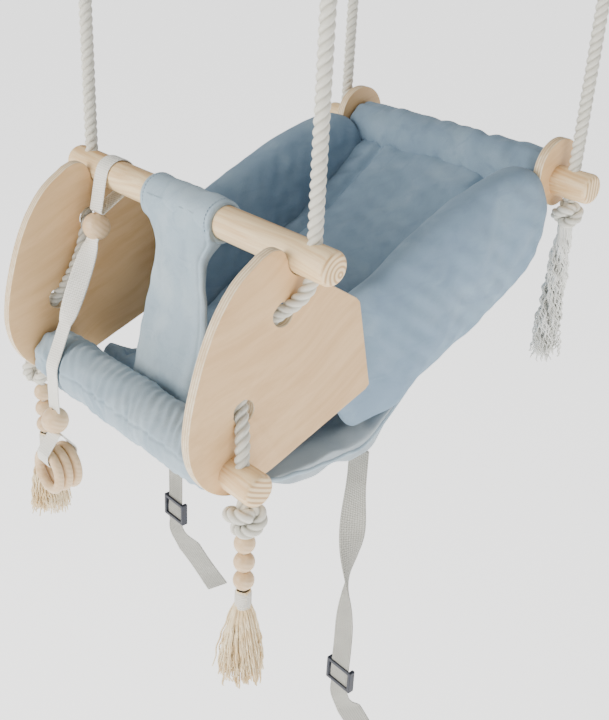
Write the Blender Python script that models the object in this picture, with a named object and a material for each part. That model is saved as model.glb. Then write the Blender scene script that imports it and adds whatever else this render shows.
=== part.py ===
"""Toddler bucket swing: plywood side panels, three dowels, padded cloth seat, four hanging ropes.

Metres, +Z up, the child faces -Y. The origin is midway between the four hanging rings. Shapes are
written from the middle of the handlebar, which hangs BAR away from the origin.
"""

import math

import bmesh
import bpy
from mathutils import Matrix, Vector

# Frame: the handlebar's middle, seen from the point midway between the hanging rings.
BAR = Vector((0.0, -0.1635, -0.257))
ROPE_SPACING = 0.327  # front ropes to rear ropes
ROPE_X = 0.151  # ropes to the middle plane
GAP = 0.0004  # between pieces that rest on each other

# Wood
DOWEL_RADIUS = 0.014
DOWEL_LENGTH = 0.348
DOWEL_END_ROUND = 0.005
PLY = 0.009
PANEL_OUTER_X = 0.140
PANEL_INNER_X = PANEL_OUTER_X - PLY
FRONT_DOWEL = (-0.0635, -0.1645)
REAR_DOWEL = (ROPE_SPACING, 0.004)
ROPE_HOLES = ((-0.0175, -0.0425), (-0.0535, -0.1136))
ROPE_HOLE_RADIUS = 0.010
DISC_INNER_X = 0.126
BAR_SEAT_RADIUS = DOWEL_RADIUS + 0.0008

# Ropes
ROPE_RADIUS = 0.006
BORE_RADIUS = ROPE_RADIUS + 0.0006
FLEX_Z = 0.080  # height at which the hanging ropes are taken to bend
FLEX_GAP = 0.003
RING_WIRE = 0.003
RING_MAJOR = 0.017
HOOK_Z = -BAR.z - RING_MAJOR  # the wire that carries the rope's eye
EYE_RADIUS = 0.013
EYE_STRETCH = 0.012
KNOT_RADIUS = 0.016
KNOT_X = PANEL_OUTER_X + KNOT_RADIUS + 0.0008
REAR_KNOT_RADIUS = 0.014
TASSEL_BEAD_RADIUS = 0.0088
TASSEL_BEAD_COUNT = 3
TASSEL_LENGTH = 0.096
FRINGE_LENGTH = 0.142

# Padding
FRONT_ROLL_RADIUS = 0.0255
FRONT_ROLL_HALF = 0.129
REAR_ROLL_RADIUS = 0.0265
REAR_ROLL_HALF = 0.124
COVER_WALL = 0.004
BOLSTER_X = (0.104, 0.1305)
PAD_HALF = 0.1035
BASE_HALF = 0.129
SLEEVE_HALF = 0.048
SLEEVE_WALL = 0.0045

# Straps
WEBBING_WIDTH = 0.025
WEBBING_THICK = 0.0016
STRAP_X = 0.1165
STRAP_TOP_Z = -0.2155
STRAP_Y = {"near": 0.104, "far": 0.066}
BUCKLE_Z = {"near": -0.487, "far": -0.393}
BUCKLE_HEIGHT = 0.026
BUCKLE_DEPTH = 0.0072
BUCKLE_BAR = 0.004
TAIL_LENGTH = 0.150
TAIL_LEAN = math.radians(28)

# Toy
TAPE_WIDTH = 0.019
TAPE_THICK = 0.0016
TAPE_BAR_X = -0.112
TAPE_ROLL_X = -0.086
TOY_BEAD_RADIUS = 0.0125
UPPER_BEAD = (-0.026, -0.042)
LOWER_BEAD_Z = -0.211
TOY_RING_MAJOR = 0.0185
TOY_RING_WIRE = 0.0045
TOY_RING_PITCH = 0.0096
TOY_RING_Z = -0.262

SIDES = {"near": 1, "far": -1}

for old in list(bpy.data.objects):
    bpy.data.objects.remove(old)


# Materials: name, colour, roughness, metallic
def finish(name, colour, roughness, metallic=0.0):
    material = bpy.data.materials.new(name)
    material.use_nodes = True
    shader = material.node_tree.nodes["Principled BSDF"]
    shader.inputs["Base Color"].default_value = (*colour, 1.0)
    shader.inputs["Roughness"].default_value = roughness
    shader.inputs["Metallic"].default_value = metallic
    return material


PLYWOOD = finish("birch_plywood", (0.72, 0.55, 0.38), 0.55)
PINE = finish("pine", (0.86, 0.68, 0.42), 0.5)
BEECH = finish("turned_beech", (0.72, 0.52, 0.32), 0.45)
COTTON = finish("cotton_rope", (0.74, 0.74, 0.70), 0.9)
VELVET = finish("velvet", (0.24, 0.34, 0.43), 0.85)
FOAM = finish("foam", (0.85, 0.83, 0.75), 0.9)
WEBBING = finish("grey_webbing", (0.33, 0.33, 0.31), 0.85)
PLASTIC = finish("black_plastic", (0.015, 0.018, 0.03), 0.4)
STEEL = finish("steel", (0.6, 0.6, 0.6), 0.3, 1.0)
TAPE = finish("cotton_tape", (0.74, 0.75, 0.70), 0.9)


# Bodies: each has an empty on its joint's axis, which its pieces hang from.
def pivot(name, x, y, z):
    empty = bpy.data.objects.new(name, None)
    empty.location = BAR + Vector((x, y, z))
    bpy.context.scene.collection.objects.link(empty)
    return empty


def place(name, mesh, body, material, smooth=True):
    """Hangs a mesh made in the handlebar's coordinates from its body's empty."""
    mesh.transform(Matrix.Translation(BAR - body.location))
    mesh.materials.append(material)
    if smooth:
        mesh.shade_smooth()
        mesh.set_sharp_from_angle(angle=math.radians(35))
    obj = bpy.data.objects.new(name, mesh)
    obj.parent = body
    bpy.context.scene.collection.objects.link(obj)
    return obj


# Meshes
def mesh_of(points, faces):
    """A closed mesh with its faces turned outwards."""
    mesh = bpy.data.meshes.new("mesh")
    mesh.from_pydata([tuple(p) for p in points], [], faces)
    work = bmesh.new()
    work.from_mesh(mesh)
    bmesh.ops.recalc_face_normals(work, faces=work.faces)
    work.to_mesh(mesh)
    work.free()
    return mesh


def prism(outline, x0, x1):
    """An outline of (y, z) points pushed along X from x0 to x1."""
    n = len(outline)
    points = [(x, y, z) for x in (x0, x1) for y, z in outline]
    sides = [(i, (i + 1) % n, n + (i + 1) % n, n + i) for i in range(n)]
    return mesh_of(points, [tuple(range(n)), tuple(range(n, 2 * n)), *sides])


def box(x0, x1, y0, y1, z0, z1):
    return prism([(y0, z0), (y1, z0), (y1, z1), (y0, z1)], x0, x1)


def frame_of(axis):
    """Two directions square to an axis."""
    w = Vector(axis).normalized()
    u = w.orthogonal().normalized()
    return u, w.cross(u), w


def turned(profile, centre, axis, segments, closed=False):
    """A profile of (radius, height) points turned about an axis. Its ends lie on the axis unless closed."""
    u, v, w = frame_of(axis)
    points, rows = [], []
    for radius, height in profile:
        row = []
        for k in range(segments if radius > 0 else 1):
            a = 2 * math.pi * k / segments
            row.append(len(points))
            points.append(Vector(centre) + w * height + (u * math.cos(a) + v * math.sin(a)) * radius)
        rows.append(row * segments if len(row) == 1 else row)
    faces = []
    pairs = list(zip(rows, rows[1:])) + ([(rows[-1], rows[0])] if closed else [])
    for low, high in pairs:
        for k in range(segments):
            corners = [low[k], low[(k + 1) % segments], high[(k + 1) % segments], high[k]]
            faces.append(tuple(dict.fromkeys(corners)))
    return mesh_of(points, faces)


def ball(centre, radius, segments=12, rings=7):
    arc = [math.pi * k / rings for k in range(rings + 1)]
    profile = [(radius * math.sin(a), -radius * math.cos(a)) for a in arc]
    profile[0] = (0.0, profile[0][1])
    profile[-1] = (0.0, profile[-1][1])
    return turned(profile, centre, (0, 0, 1), segments)


def rod(centre, axis, radius, half, end_round, segments=24, steps=3):
    """A bar with rounded ends, centred on a point."""
    arc = [math.pi / 2 * k / steps for k in range(steps + 1)]
    r, h = radius - end_round, half - end_round
    edge = [(r + end_round * math.sin(a), h + end_round * math.cos(a)) for a in arc]
    profile = [(r, -h) for r, h in edge] + [(r, h) for r, h in reversed(edge)]
    return turned([(0.0, -half), *profile, (0.0, half)], centre, axis, segments)


def sweep(loop, section):
    """A section of (out, side) carried round a closed path of (point, outward, sideways)."""
    points, n, m = [], len(loop), len(section)
    for point, out, side in loop:
        points += [Vector(point) + Vector(out) * a + Vector(side) * b for a, b in section]
    faces = []
    for i in range(n):
        for j in range(m):
            a, b = i * m + j, i * m + (j + 1) % m
            c, d = ((i + 1) % n) * m + (j + 1) % m, ((i + 1) % n) * m + j
            faces.append((a, b, c, d))
    return mesh_of(points, faces)


def ring(centre, axis, major, wire, segments=18, sides=8, stretch=0.0):
    """A ring, or with a stretch a long link whose two halves stand that far apart along Z."""
    _, _, w = frame_of(axis)
    up = Vector((0, 0, 1))
    across = up.cross(w)
    loop = []
    for k in range(segments):
        a = 2 * math.pi * (k + 0.5) / segments
        out = across * math.cos(a) + up * math.sin(a)
        lift = up * (stretch / 2 if math.sin(a) > 0 else -stretch / 2)
        loop.append((Vector(centre) + out * major + lift, out, w))
    turn = [2 * math.pi * k / sides for k in range(sides)]
    return sweep(loop, [(wire * math.cos(t), wire * math.sin(t)) for t in turn])


def circle(centre, radius, count=16):
    turn = [2 * math.pi * k / count for k in range(count)]
    return [(centre[0] + radius * math.cos(t), centre[1] + radius * math.sin(t)) for t in turn]


def belt(circles):
    """The path of a belt pulled tight round circles in a plane, anticlockwise."""
    points = sorted({p for c, r in circles for p in circle(c, r)})

    def half(chain):
        kept = []
        for p in chain:
            while len(kept) > 1 and (kept[-1][0] - kept[-2][0]) * (p[1] - kept[-2][1]) <= (
                kept[-1][1] - kept[-2][1]
            ) * (p[0] - kept[-2][0]):
                kept.pop()
            kept.append(p)
        return kept[:-1]

    return half(points) + half(reversed(points))


def tape_belt(circles, x_of, width, thick):
    """A flat tape that runs round circles in the YZ plane, its width along X."""
    path = belt(circles)
    loop = []
    for i, (y, z) in enumerate(path):
        before, after = path[i - 1], path[(i + 1) % len(path)]
        out = Vector((0, after[1] - before[1], before[0] - after[0])).normalized()
        loop.append(((x_of(z), y, z), out, (1, 0, 0)))
    a, b = thick / 2, width / 2
    return sweep(loop, [(-a, -b), (a, -b), (a, b), (-a, b)])


def strip(path, width, thick):
    """A flat strap along an open path of (x, y, z) points, its width along X."""
    sides, other = [], []
    for i, p in enumerate(path):
        before, after = path[max(i - 1, 0)], path[min(i + 1, len(path) - 1)]
        out = Vector((0, after[2] - before[2], before[1] - after[1])).normalized() * (thick / 2)
        for x in (-width / 2, width / 2):
            sides.append(Vector(p) + out + Vector((x, 0, 0)))
            other.append(Vector(p) - out + Vector((x, 0, 0)))
    n = len(path)
    points = sides + other
    faces = [(0, 1, 2 * n + 1, 2 * n), (2 * n - 2, 2 * n - 1, 4 * n - 1, 4 * n - 2)]
    for i in range(n - 1):
        a, b, c, d = 2 * i, 2 * i + 1, 2 * i + 3, 2 * i + 2
        faces += [(a, b, c, d), (2 * n + a, 2 * n + b, 2 * n + c, 2 * n + d)]
        faces += [(a, d, 2 * n + d, 2 * n + a), (b, c, 2 * n + c, 2 * n + b)]
    return mesh_of(points, faces)


def spline(points, steps):
    """A smooth curve through its points, with that many short runs between each two."""
    ends = [points[0], *points, points[-1]]
    curve = []
    for i in range(1, len(ends) - 2):
        a, b, c, d = (Vector(p) for p in ends[i - 1 : i + 3])
        for k in range(steps):
            t = k / steps
            square, cube = 2 * a - 5 * b + 4 * c - d, 3 * b - a - 3 * c + d
            curve.append(0.5 * (2 * b + (c - a) * t + square * t**2 + cube * t**3))
    return [*curve, Vector(points[-1])]


def flat_spline(points, steps):
    return [(p.y, p.z) for p in spline([(0, y, z) for y, z in points], steps)]


# Cutters
def guide(mesh, body):
    obj = bpy.data.objects.new("guide", mesh)
    mesh.transform(Matrix.Translation(BAR - body.location))
    obj.parent = body
    obj.hide_render = True
    obj.display_type = "WIRE"
    bpy.context.scene.collection.objects.link(obj)
    return obj


def combine(obj, mesh, body, operation):
    modifier = obj.modifiers.new(operation.lower(), "BOOLEAN")
    modifier.operation = operation
    modifier.solver = "EXACT"
    modifier.object = guide(mesh, body)


def bore(obj, body, centre, axis, radius, half, segments=16):
    profile = [(0.0, -half), (radius, -half), (radius, half), (0.0, half)]
    combine(obj, turned(profile, centre, axis, segments), body, "DIFFERENCE")


# Ropes: the route of a front rope below its flex point, on the +X side.
FRONT_ROUTE = (
    (0.151, 0.0, 0.080),
    (0.151, 0.0, 0.040),
    (0.151, 0.0, 0.010),
    (0.1510, 0.0, -0.0140),
    (0.1488, -0.0052, -0.0255),
    (0.1435, -0.0112, -0.0345),
    (0.1355, -0.0175, -0.0428),
    (0.1285, -0.0238, -0.0530),
    (0.1250, -0.0300, -0.0660),
    (0.1243, -0.0368, -0.0800),
    (0.1260, -0.0432, -0.0930),
    (0.1300, -0.0485, -0.1040),
    (0.1365, -0.0538, -0.1145),
    (0.1440, -0.0582, -0.1245),
    (0.1492, -0.0618, -0.1360),
    (0.1510, -0.0635, -0.1480),
    (0.1510, -0.0635, -0.1640),
    (0.1510, -0.0635, -0.1785),
)


def rope(name, points, body):
    """A rope as a round tube along its points."""
    data = bpy.data.curves.new(name, "CURVE")
    data.dimensions = "3D"
    data.bevel_depth = ROPE_RADIUS
    data.bevel_resolution = 2
    data.use_fill_caps = True
    line = data.splines.new("POLY")
    line.points.add(len(points) - 1)
    for target, p in zip(line.points, points):
        target.co = (*(Vector(p) + BAR - body.location), 1.0)
    data.materials.append(COTTON)
    obj = bpy.data.objects.new(name, data)
    obj.parent = body
    bpy.context.scene.collection.objects.link(obj)
    return obj


def mirrored(points, side):
    return [(side * x, y, z) for x, y, z in points]


# Frame of the swing
def panel_outline():
    """The plywood side: a horn in front of the handlebar, a round front, and a straight rear."""
    seat = [
        (BAR_SEAT_RADIUS * math.cos(math.radians(a)), BAR_SEAT_RADIUS * math.sin(math.radians(a)))
        for a in range(182, 292, 12)
    ]
    horn = [(-0.0205, 0.0085), (-0.0285, 0.0105), (-0.0390, 0.0072)]
    front = [(-0.0390, 0.0072), (-0.0600, -0.0080), (-0.0765, -0.0290), (-0.0880, -0.0520)]
    front += [(-0.0975, -0.0800), (-0.1035, -0.1050), (-0.1055, -0.1290), (-0.1005, -0.1520)]
    front += [(-0.0860, -0.1730), (-0.0620, -0.1850), (-0.0350, -0.1800), (0.0150, -0.1620)]
    rear = [(0.0800, -0.1370), (0.0840, -0.1330), (0.0650, -0.0530), (0.0610, -0.0485)]
    return [*seat, *reversed(rear), *reversed(flat_spline(front, 3)), *reversed(horn[:-1])]


def side_panel(which, side, seat):
    x = sorted((side * PANEL_INNER_X, side * PANEL_OUTER_X))
    panel = place(f"{which}_side_panel", prism(panel_outline(), *x), seat, PLYWOOD)
    middle = side * (PANEL_INNER_X + PANEL_OUTER_X) / 2
    for y, z in ROPE_HOLES:
        bore(panel, seat, (middle, y, z), (1, 0, 0), ROPE_HOLE_RADIUS, PLY)
    bore(panel, seat, (middle, *FRONT_DOWEL), (1, 0, 0), DOWEL_RADIUS + GAP, PLY, 24)
    path = mirrored(FRONT_ROUTE, side)[4:15]
    combine(panel, rope_cutter(path), seat, "DIFFERENCE")


def rope_cutter(path):
    """A round tube a little larger than the rope, along the rope's own path."""
    data = bpy.data.curves.new("cutter", "CURVE")
    data.dimensions = "3D"
    data.bevel_depth = BORE_RADIUS
    data.bevel_resolution = 2
    data.use_fill_caps = True
    line = data.splines.new("POLY")
    line.points.add(len(path) - 1)
    for target, p in zip(line.points, path):
        target.co = (*p, 1.0)
    holder = bpy.data.objects.new("cutter", data)
    mesh = bpy.data.meshes.new_from_object(holder)
    bpy.data.objects.remove(holder)
    work = bmesh.new()
    work.from_mesh(mesh)
    bmesh.ops.remove_doubles(work, verts=work.verts, dist=0.00001)
    bmesh.ops.recalc_face_normals(work, faces=work.faces)
    work.to_mesh(mesh)
    work.free()
    return mesh


def dowel(name, centre, body):
    shape = rod((0, *centre), (1, 0, 0), DOWEL_RADIUS, DOWEL_LENGTH / 2, DOWEL_END_ROUND)
    bar = place(name, shape, body, PINE)
    for side in SIDES.values():
        bore(bar, body, (side * ROPE_X, *centre), (0, 0, 1), BORE_RADIUS, 2 * DOWEL_RADIUS)


def rear_disc(which, side, seat):
    """A plywood ear with a round top, threaded on the rear dowel beside the roll."""
    y, z = REAR_DOWEL
    outline = belt([((y + 0.001, z + 0.009), 0.030), ((y + 0.001, z - 0.004), 0.021)])
    x = sorted((side * DISC_INNER_X, side * (DISC_INNER_X + PLY)))
    disc = place(f"{which}_rear_disc", prism(outline, *x), seat, PLYWOOD)
    bore(disc, seat, (side * (DISC_INNER_X + PLY / 2), y, z), (1, 0, 0), DOWEL_RADIUS + GAP, PLY, 24)


# Hanging ropes
def hanging_rope(which, row, side, y, rings, ropes):
    """A steel ring, the rope's eye round its lower wire, and the rope down to its flex point."""
    x = side * ROPE_X
    place(f"{which}_{row}_ring", ring((x, y, -BAR.z), (0, 1, 0), RING_MAJOR, RING_WIRE, 20, 8), rings, STEEL)
    top = HOOK_Z + RING_WIRE + GAP + ROPE_RADIUS
    middle = top - EYE_RADIUS - EYE_STRETCH / 2
    eye = ring((x, y, middle), (1, 0, 0), EYE_RADIUS, ROPE_RADIUS, 18, 8, EYE_STRETCH)
    place(f"{which}_{row}_rope_eye", eye, ropes, COTTON)
    start = middle - EYE_STRETCH / 2 - EYE_RADIUS - ROPE_RADIUS - GAP
    end = FLEX_Z + FLEX_GAP
    points = [(x, y, start + (end - start) * k / 4) for k in range(5)]
    rope(f"{which}_{row}_rope", points, ropes)


def front_rope_tail(which, side, seat, tassel):
    """The front rope from its flex point through the bar, the panel and the dowel, and its knot."""
    rope(f"{which}_front_rope_lower", mirrored(FRONT_ROUTE, side), seat)
    x, y = side * KNOT_X, FRONT_DOWEL[0]
    knot_z = FRONT_DOWEL[1] - DOWEL_RADIUS - GAP - KNOT_RADIUS
    place(f"{which}_front_knot", ball((x, y, knot_z), KNOT_RADIUS), seat, COTTON)
    z = knot_z - KNOT_RADIUS - 2 * GAP
    for number in range(1, TASSEL_BEAD_COUNT + 1):
        z -= TASSEL_BEAD_RADIUS
        place(f"{which}_tassel_bead_{number}", ball((x, y, z), TASSEL_BEAD_RADIUS), tassel, BEECH)
        z -= TASSEL_BEAD_RADIUS + GAP
    profile = [(0.0, 0.0), (0.005, -0.001), (0.0062, -0.008), (0.0062, -0.016), (0.010, -0.030)]
    profile += [(0.0165, -0.060), (0.0215, -0.085), (0.0205, -TASSEL_LENGTH), (0.0, -TASSEL_LENGTH)]
    place(f"{which}_front_tassel", turned(profile, (x, y, z), (0, 0, 1), 14), tassel, COTTON)


def rear_rope_tail(which, side, seat, fringe):
    """The rear rope from its flex point through the rear dowel, its knot, and its unravelled end."""
    x, (y, z) = side * ROPE_X, REAR_DOWEL
    end = z - DOWEL_RADIUS
    points = [(x, y, FLEX_Z + (end - FLEX_Z) * k / 4) for k in range(5)]
    rope(f"{which}_rear_rope_lower", points, seat)
    knot_z = end - GAP - REAR_KNOT_RADIUS
    place(f"{which}_rear_knot", ball((x, y, knot_z), REAR_KNOT_RADIUS), seat, COTTON)
    profile = [(0.0, 0.0), (0.0065, -0.001), (0.0085, -0.025), (0.0105, -0.060), (0.0130, -0.100)]
    profile += [(0.0150, -FRINGE_LENGTH + 0.006), (0.0135, -FRINGE_LENGTH), (0.0, -FRINGE_LENGTH)]
    top = knot_z - REAR_KNOT_RADIUS - 2 * GAP
    place(f"{which}_rear_fringe", turned(profile, (x, y, top), (0, 0, 1), 14), fringe, COTTON)


# Padding
def padded_roll(name, centre, radius, half, seat):
    """A foam sleeve on a dowel, and the cloth cover that closes over its ends."""
    bore_r, edge, inner = DOWEL_RADIUS + GAP, 0.006, radius - COVER_WALL
    outer = [(radius - edge, half), (radius - 0.0018, half - 0.0018), (radius, half - edge)]
    profile = [(bore_r, -half), *[(r, -h) for r, h in outer], *reversed(outer), (bore_r, half)]
    core = half - COVER_WALL
    profile += [(bore_r, core), (inner, core), (inner, -core), (bore_r, -core)]
    place(f"{name}_cover", turned(profile, (0, *centre), (1, 0, 0), 24, True), seat, VELVET)
    a, b, h = bore_r, inner - GAP, core - GAP
    foam = [(a, -h), (b, -h), (b, h), (a, h)]
    place(f"{name}_foam", turned(foam, (0, *centre), (1, 0, 0), 24, True), seat, FOAM)


def side_wall(which, side, seat):
    """The padded side of the seat, from inside the plywood panel to the rear roll."""
    top = [(0.054, -0.062), (0.068, -0.052), (0.100, -0.040), (0.137, -0.024), (0.175, -0.009)]
    top += [(0.211, 0.001), (0.255, 0.011), (0.288, 0.014)]
    rear = [(0.294, 0.004), (0.297, -0.020), (0.309, -0.040), (0.311, -0.054)]
    bottom = [(0.300, -0.074), (0.268, -0.099), (0.228, -0.121), (0.188, -0.138), (0.146, -0.153)]
    bottom += [(0.115, -0.170), (0.098, -0.180), (0.084, -0.176), (0.064, -0.160), (0.056, -0.135)]
    x = sorted(side * value for value in BOLSTER_X)
    place(f"{which}_side_wall", prism([*top, *rear, *bottom], *x), seat, VELVET)


PAD_TOP = (
    (-0.0170, -0.1560),
    (-0.0110, -0.1620),
    (0.0050, -0.1690),
    (0.0400, -0.1730),
    (0.0720, -0.1660),
    (0.0960, -0.1500),
    (0.1350, -0.1220),
    (0.1740, -0.0950),
    (0.2140, -0.0700),
    (0.2480, -0.0480),
    (0.2760, -0.0270),
    (0.2980, -0.0090),
)
PAD_THICK = 0.018


def shifted(points, depth):
    """A line of (y, z) points moved square to itself, downwards."""
    moved = []
    for i, (y, z) in enumerate(points):
        before, after = points[max(i - 1, 0)], points[min(i + 1, len(points) - 1)]
        way = Vector((after[0] - before[0], after[1] - before[1])).normalized()
        moved.append((y + way.y * depth, z - way.x * depth))
    return moved


def seat_pad(seat):
    """The padded sling that is both seat and back, and the loose cloth under it."""
    under = shifted(PAD_TOP, PAD_THICK)
    place("seat_pad", prism([*PAD_TOP, *reversed(under)], -PAD_HALF, PAD_HALF), seat, VELVET)
    upper = [(-0.0220, -0.1925), (0.0500, -0.1960), (0.0980, -0.1930), (0.1200, -0.1810), (0.1500, -0.1570)]
    lower = [(0.1500, -0.1630), (0.1200, -0.1950), (0.1060, -0.2110), (0.0660, -0.2145), (0.0300, -0.2130)]
    lower += [(-0.0060, -0.2060), (-0.0240, -0.1980)]
    place("seat_base_cloth", prism([*upper, *lower], -BASE_HALF, BASE_HALF), seat, VELVET)


def crotch_flap(seat, bar):
    """The sleeve on the handlebar and the two-layer flap that hangs from it to the seat's front."""
    inner, outer = DOWEL_RADIUS + GAP, DOWEL_RADIUS + SLEEVE_WALL
    wall = [(inner, -SLEEVE_HALF), (outer, -SLEEVE_HALF), (outer, SLEEVE_HALF), (inner, SLEEVE_HALF)]
    place("flap_sleeve", turned(wall, (0, 0, 0), (1, 0, 0), 24, True), bar, VELVET)
    stations = (  # z, front y, back y, half width
        (-0.0190, -0.0150, 0.0130, 0.048),
        (-0.0350, -0.0140, 0.0030, 0.037),
        (-0.0560, -0.0130, -0.0030, 0.029),
        (-0.0800, -0.0160, -0.0060, 0.031),
        (-0.1080, -0.0230, -0.0120, 0.037),
        (-0.1300, -0.0290, -0.0170, 0.043),
        (-0.1480, -0.0330, -0.0215, 0.045),
    )
    points = []
    for z, front, back, half in stations:
        points += [(-half, front, z), (half, front, z), (half, back, z), (-half, back, z)]
    faces = [(0, 1, 2, 3), tuple(range(len(points) - 4, len(points)))]
    for i in range(0, len(points) - 4, 4):
        faces += [(i + j, i + (j + 1) % 4, i + 4 + (j + 1) % 4, i + 4 + j) for j in range(4)]
    place("crotch_flap", mesh_of(points, faces), seat, VELVET)


# Straps
def webbing_strap(which, side, strap, buckle):
    """Webbing sewn under the seat, its loose tail, and a ladder buckle that slides on it."""
    x, y, z = side * STRAP_X, STRAP_Y[which], BUCKLE_Z[which]
    end = z - BUCKLE_HEIGHT / 2 - 0.004
    path = [(x, y, STRAP_TOP_Z + (end - STRAP_TOP_Z) * k / 3) for k in range(4)]
    bend = 0.012
    path += [(x, y + 0.002, end - bend)]
    for k in range(1, 4):
        run = (TAIL_LENGTH - BUCKLE_HEIGHT / 2 - bend) * k / 3
        path.append((x, y + 0.002 + run * math.sin(TAIL_LEAN), end - bend - run * math.cos(TAIL_LEAN)))
    place(f"{which}_webbing_strap", strip(path, WEBBING_WIDTH, WEBBING_THICK), strap, WEBBING, False)
    ladder_buckle(which, x, y, z, buckle)


def ladder_buckle(which, x, y, z, body):
    """Two rails and three bars that pass in turn in front of and behind the webbing."""
    inner, outer = WEBBING_WIDTH / 2 + 0.0008, WEBBING_WIDTH / 2 + 0.0045
    front, half = BUCKLE_DEPTH / 2, BUCKLE_HEIGHT / 2
    gap = WEBBING_THICK / 2 + GAP
    rails = []
    for way in (-1, 1):
        x0, x1 = sorted((x + way * inner, x + way * outer))
        rails.append(box(x0, x1, y - front, y + front, z - half, z + half))
    buckle = place(f"{which}_strap_buckle", rails[0], body, PLASTIC, False)
    combine(buckle, rails[1], body, "UNION")
    middle = (outer + inner) / 2
    for number, way in enumerate((-1, 1, -1)):
        low = z - half + number * (2 * half - BUCKLE_BAR)
        if number:
            low = z - half + number * (half - BUCKLE_BAR / 2)
        y0, y1 = sorted((y + way * gap, y + way * front))
        combine(buckle, box(x - middle, x + middle, y0, y1, low, low + BUCKLE_BAR), body, "UNION")


# Toy
def toy(bar, swing, rings):
    """A cotton tape looped round the handlebar and over the front roll, two beads, three rings."""
    y0, z0 = UPPER_BEAD
    slope = (TAPE_BAR_X - TAPE_ROLL_X) / (0 - FRONT_DOWEL[1])

    def x_of(z):
        return TAPE_BAR_X - slope * min(max(-z, 0.0), -FRONT_DOWEL[1])

    around = DOWEL_RADIUS + GAP + TAPE_THICK / 2
    neck = (y0 + 0.0035, z0 + TOY_BEAD_RADIUS + 0.0040)
    loop = tape_belt([((0.0, 0.0), around), (neck, 0.0025)], x_of, TAPE_WIDTH, TAPE_THICK)
    place("toy_bar_loop", loop, bar, TAPE)
    place("toy_upper_bead", ball((x_of(z0), y0, z0), TOY_BEAD_RADIUS), bar, BEECH)

    cy, cz = FRONT_DOWEL
    reach = FRONT_ROLL_RADIUS + GAP + TAPE_THICK / 2
    away = math.hypot(y0 - cy, z0 - cz)
    touch = math.atan2(z0 - cz, y0 - cy) + math.acos(reach / away)
    arc = [touch + (math.pi - touch) * k / 4 for k in range(5)]
    wrap = [(cy + reach * math.cos(a), cz + reach * math.sin(a)) for a in arc]
    way = Vector((wrap[0][0] - y0, wrap[0][1] - z0)).normalized()
    first = (y0 + way.x * (TOY_BEAD_RADIUS + 0.001), z0 + way.y * (TOY_BEAD_RADIUS + 0.001))
    step = ((wrap[0][0] - first[0]) / 3, (wrap[0][1] - first[1]) / 3)
    run = [(first[0] + step[0] * k, first[1] + step[1] * k) for k in range(3)]
    path = [(x_of(z), y, z) for y, z in [*run, *wrap]]
    place("toy_upper_tape", strip(path, TAPE_WIDTH, TAPE_THICK), bar, TAPE, False)

    y = cy - reach
    low = [(TAPE_ROLL_X, y, cz - 0.0006), (TAPE_ROLL_X, y, LOWER_BEAD_Z + TOY_BEAD_RADIUS + GAP)]
    place("toy_lower_tape", strip(low, TAPE_WIDTH, TAPE_THICK), swing, TAPE, False)
    place("toy_lower_bead", ball((TAPE_ROLL_X, y, LOWER_BEAD_Z), TOY_BEAD_RADIUS), swing, BEECH)
    wire_z = TOY_RING_Z + TOY_RING_MAJOR
    hug = TOY_RING_WIRE + GAP + TAPE_THICK / 2
    top = (y, LOWER_BEAD_Z - TOY_BEAD_RADIUS - 0.0042)
    sag = TOY_RING_MAJOR - math.sqrt(TOY_RING_MAJOR**2 - (TAPE_WIDTH / 2) ** 2) + 3 * GAP
    wires = []
    for way in (-TOY_RING_PITCH, TOY_RING_PITCH):
        wires += [(y + way, wire_z), (y + way, wire_z - sag)]
    circles = [(top, 0.0028), *((wire, hug) for wire in wires)]
    place("toy_ring_loop", tape_belt(circles, lambda z: TAPE_ROLL_X, TAPE_WIDTH, TAPE_THICK), swing, TAPE)
    for number, body in enumerate(rings, 1):
        centre = (TAPE_ROLL_X, y + (number - 2) * TOY_RING_PITCH, TOY_RING_Z)
        mesh = ring(centre, (0, 1, 0), TOY_RING_MAJOR, TOY_RING_WIRE, 20, 8)
        place(f"toy_ring_{number}", mesh, body, BEECH)


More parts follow.
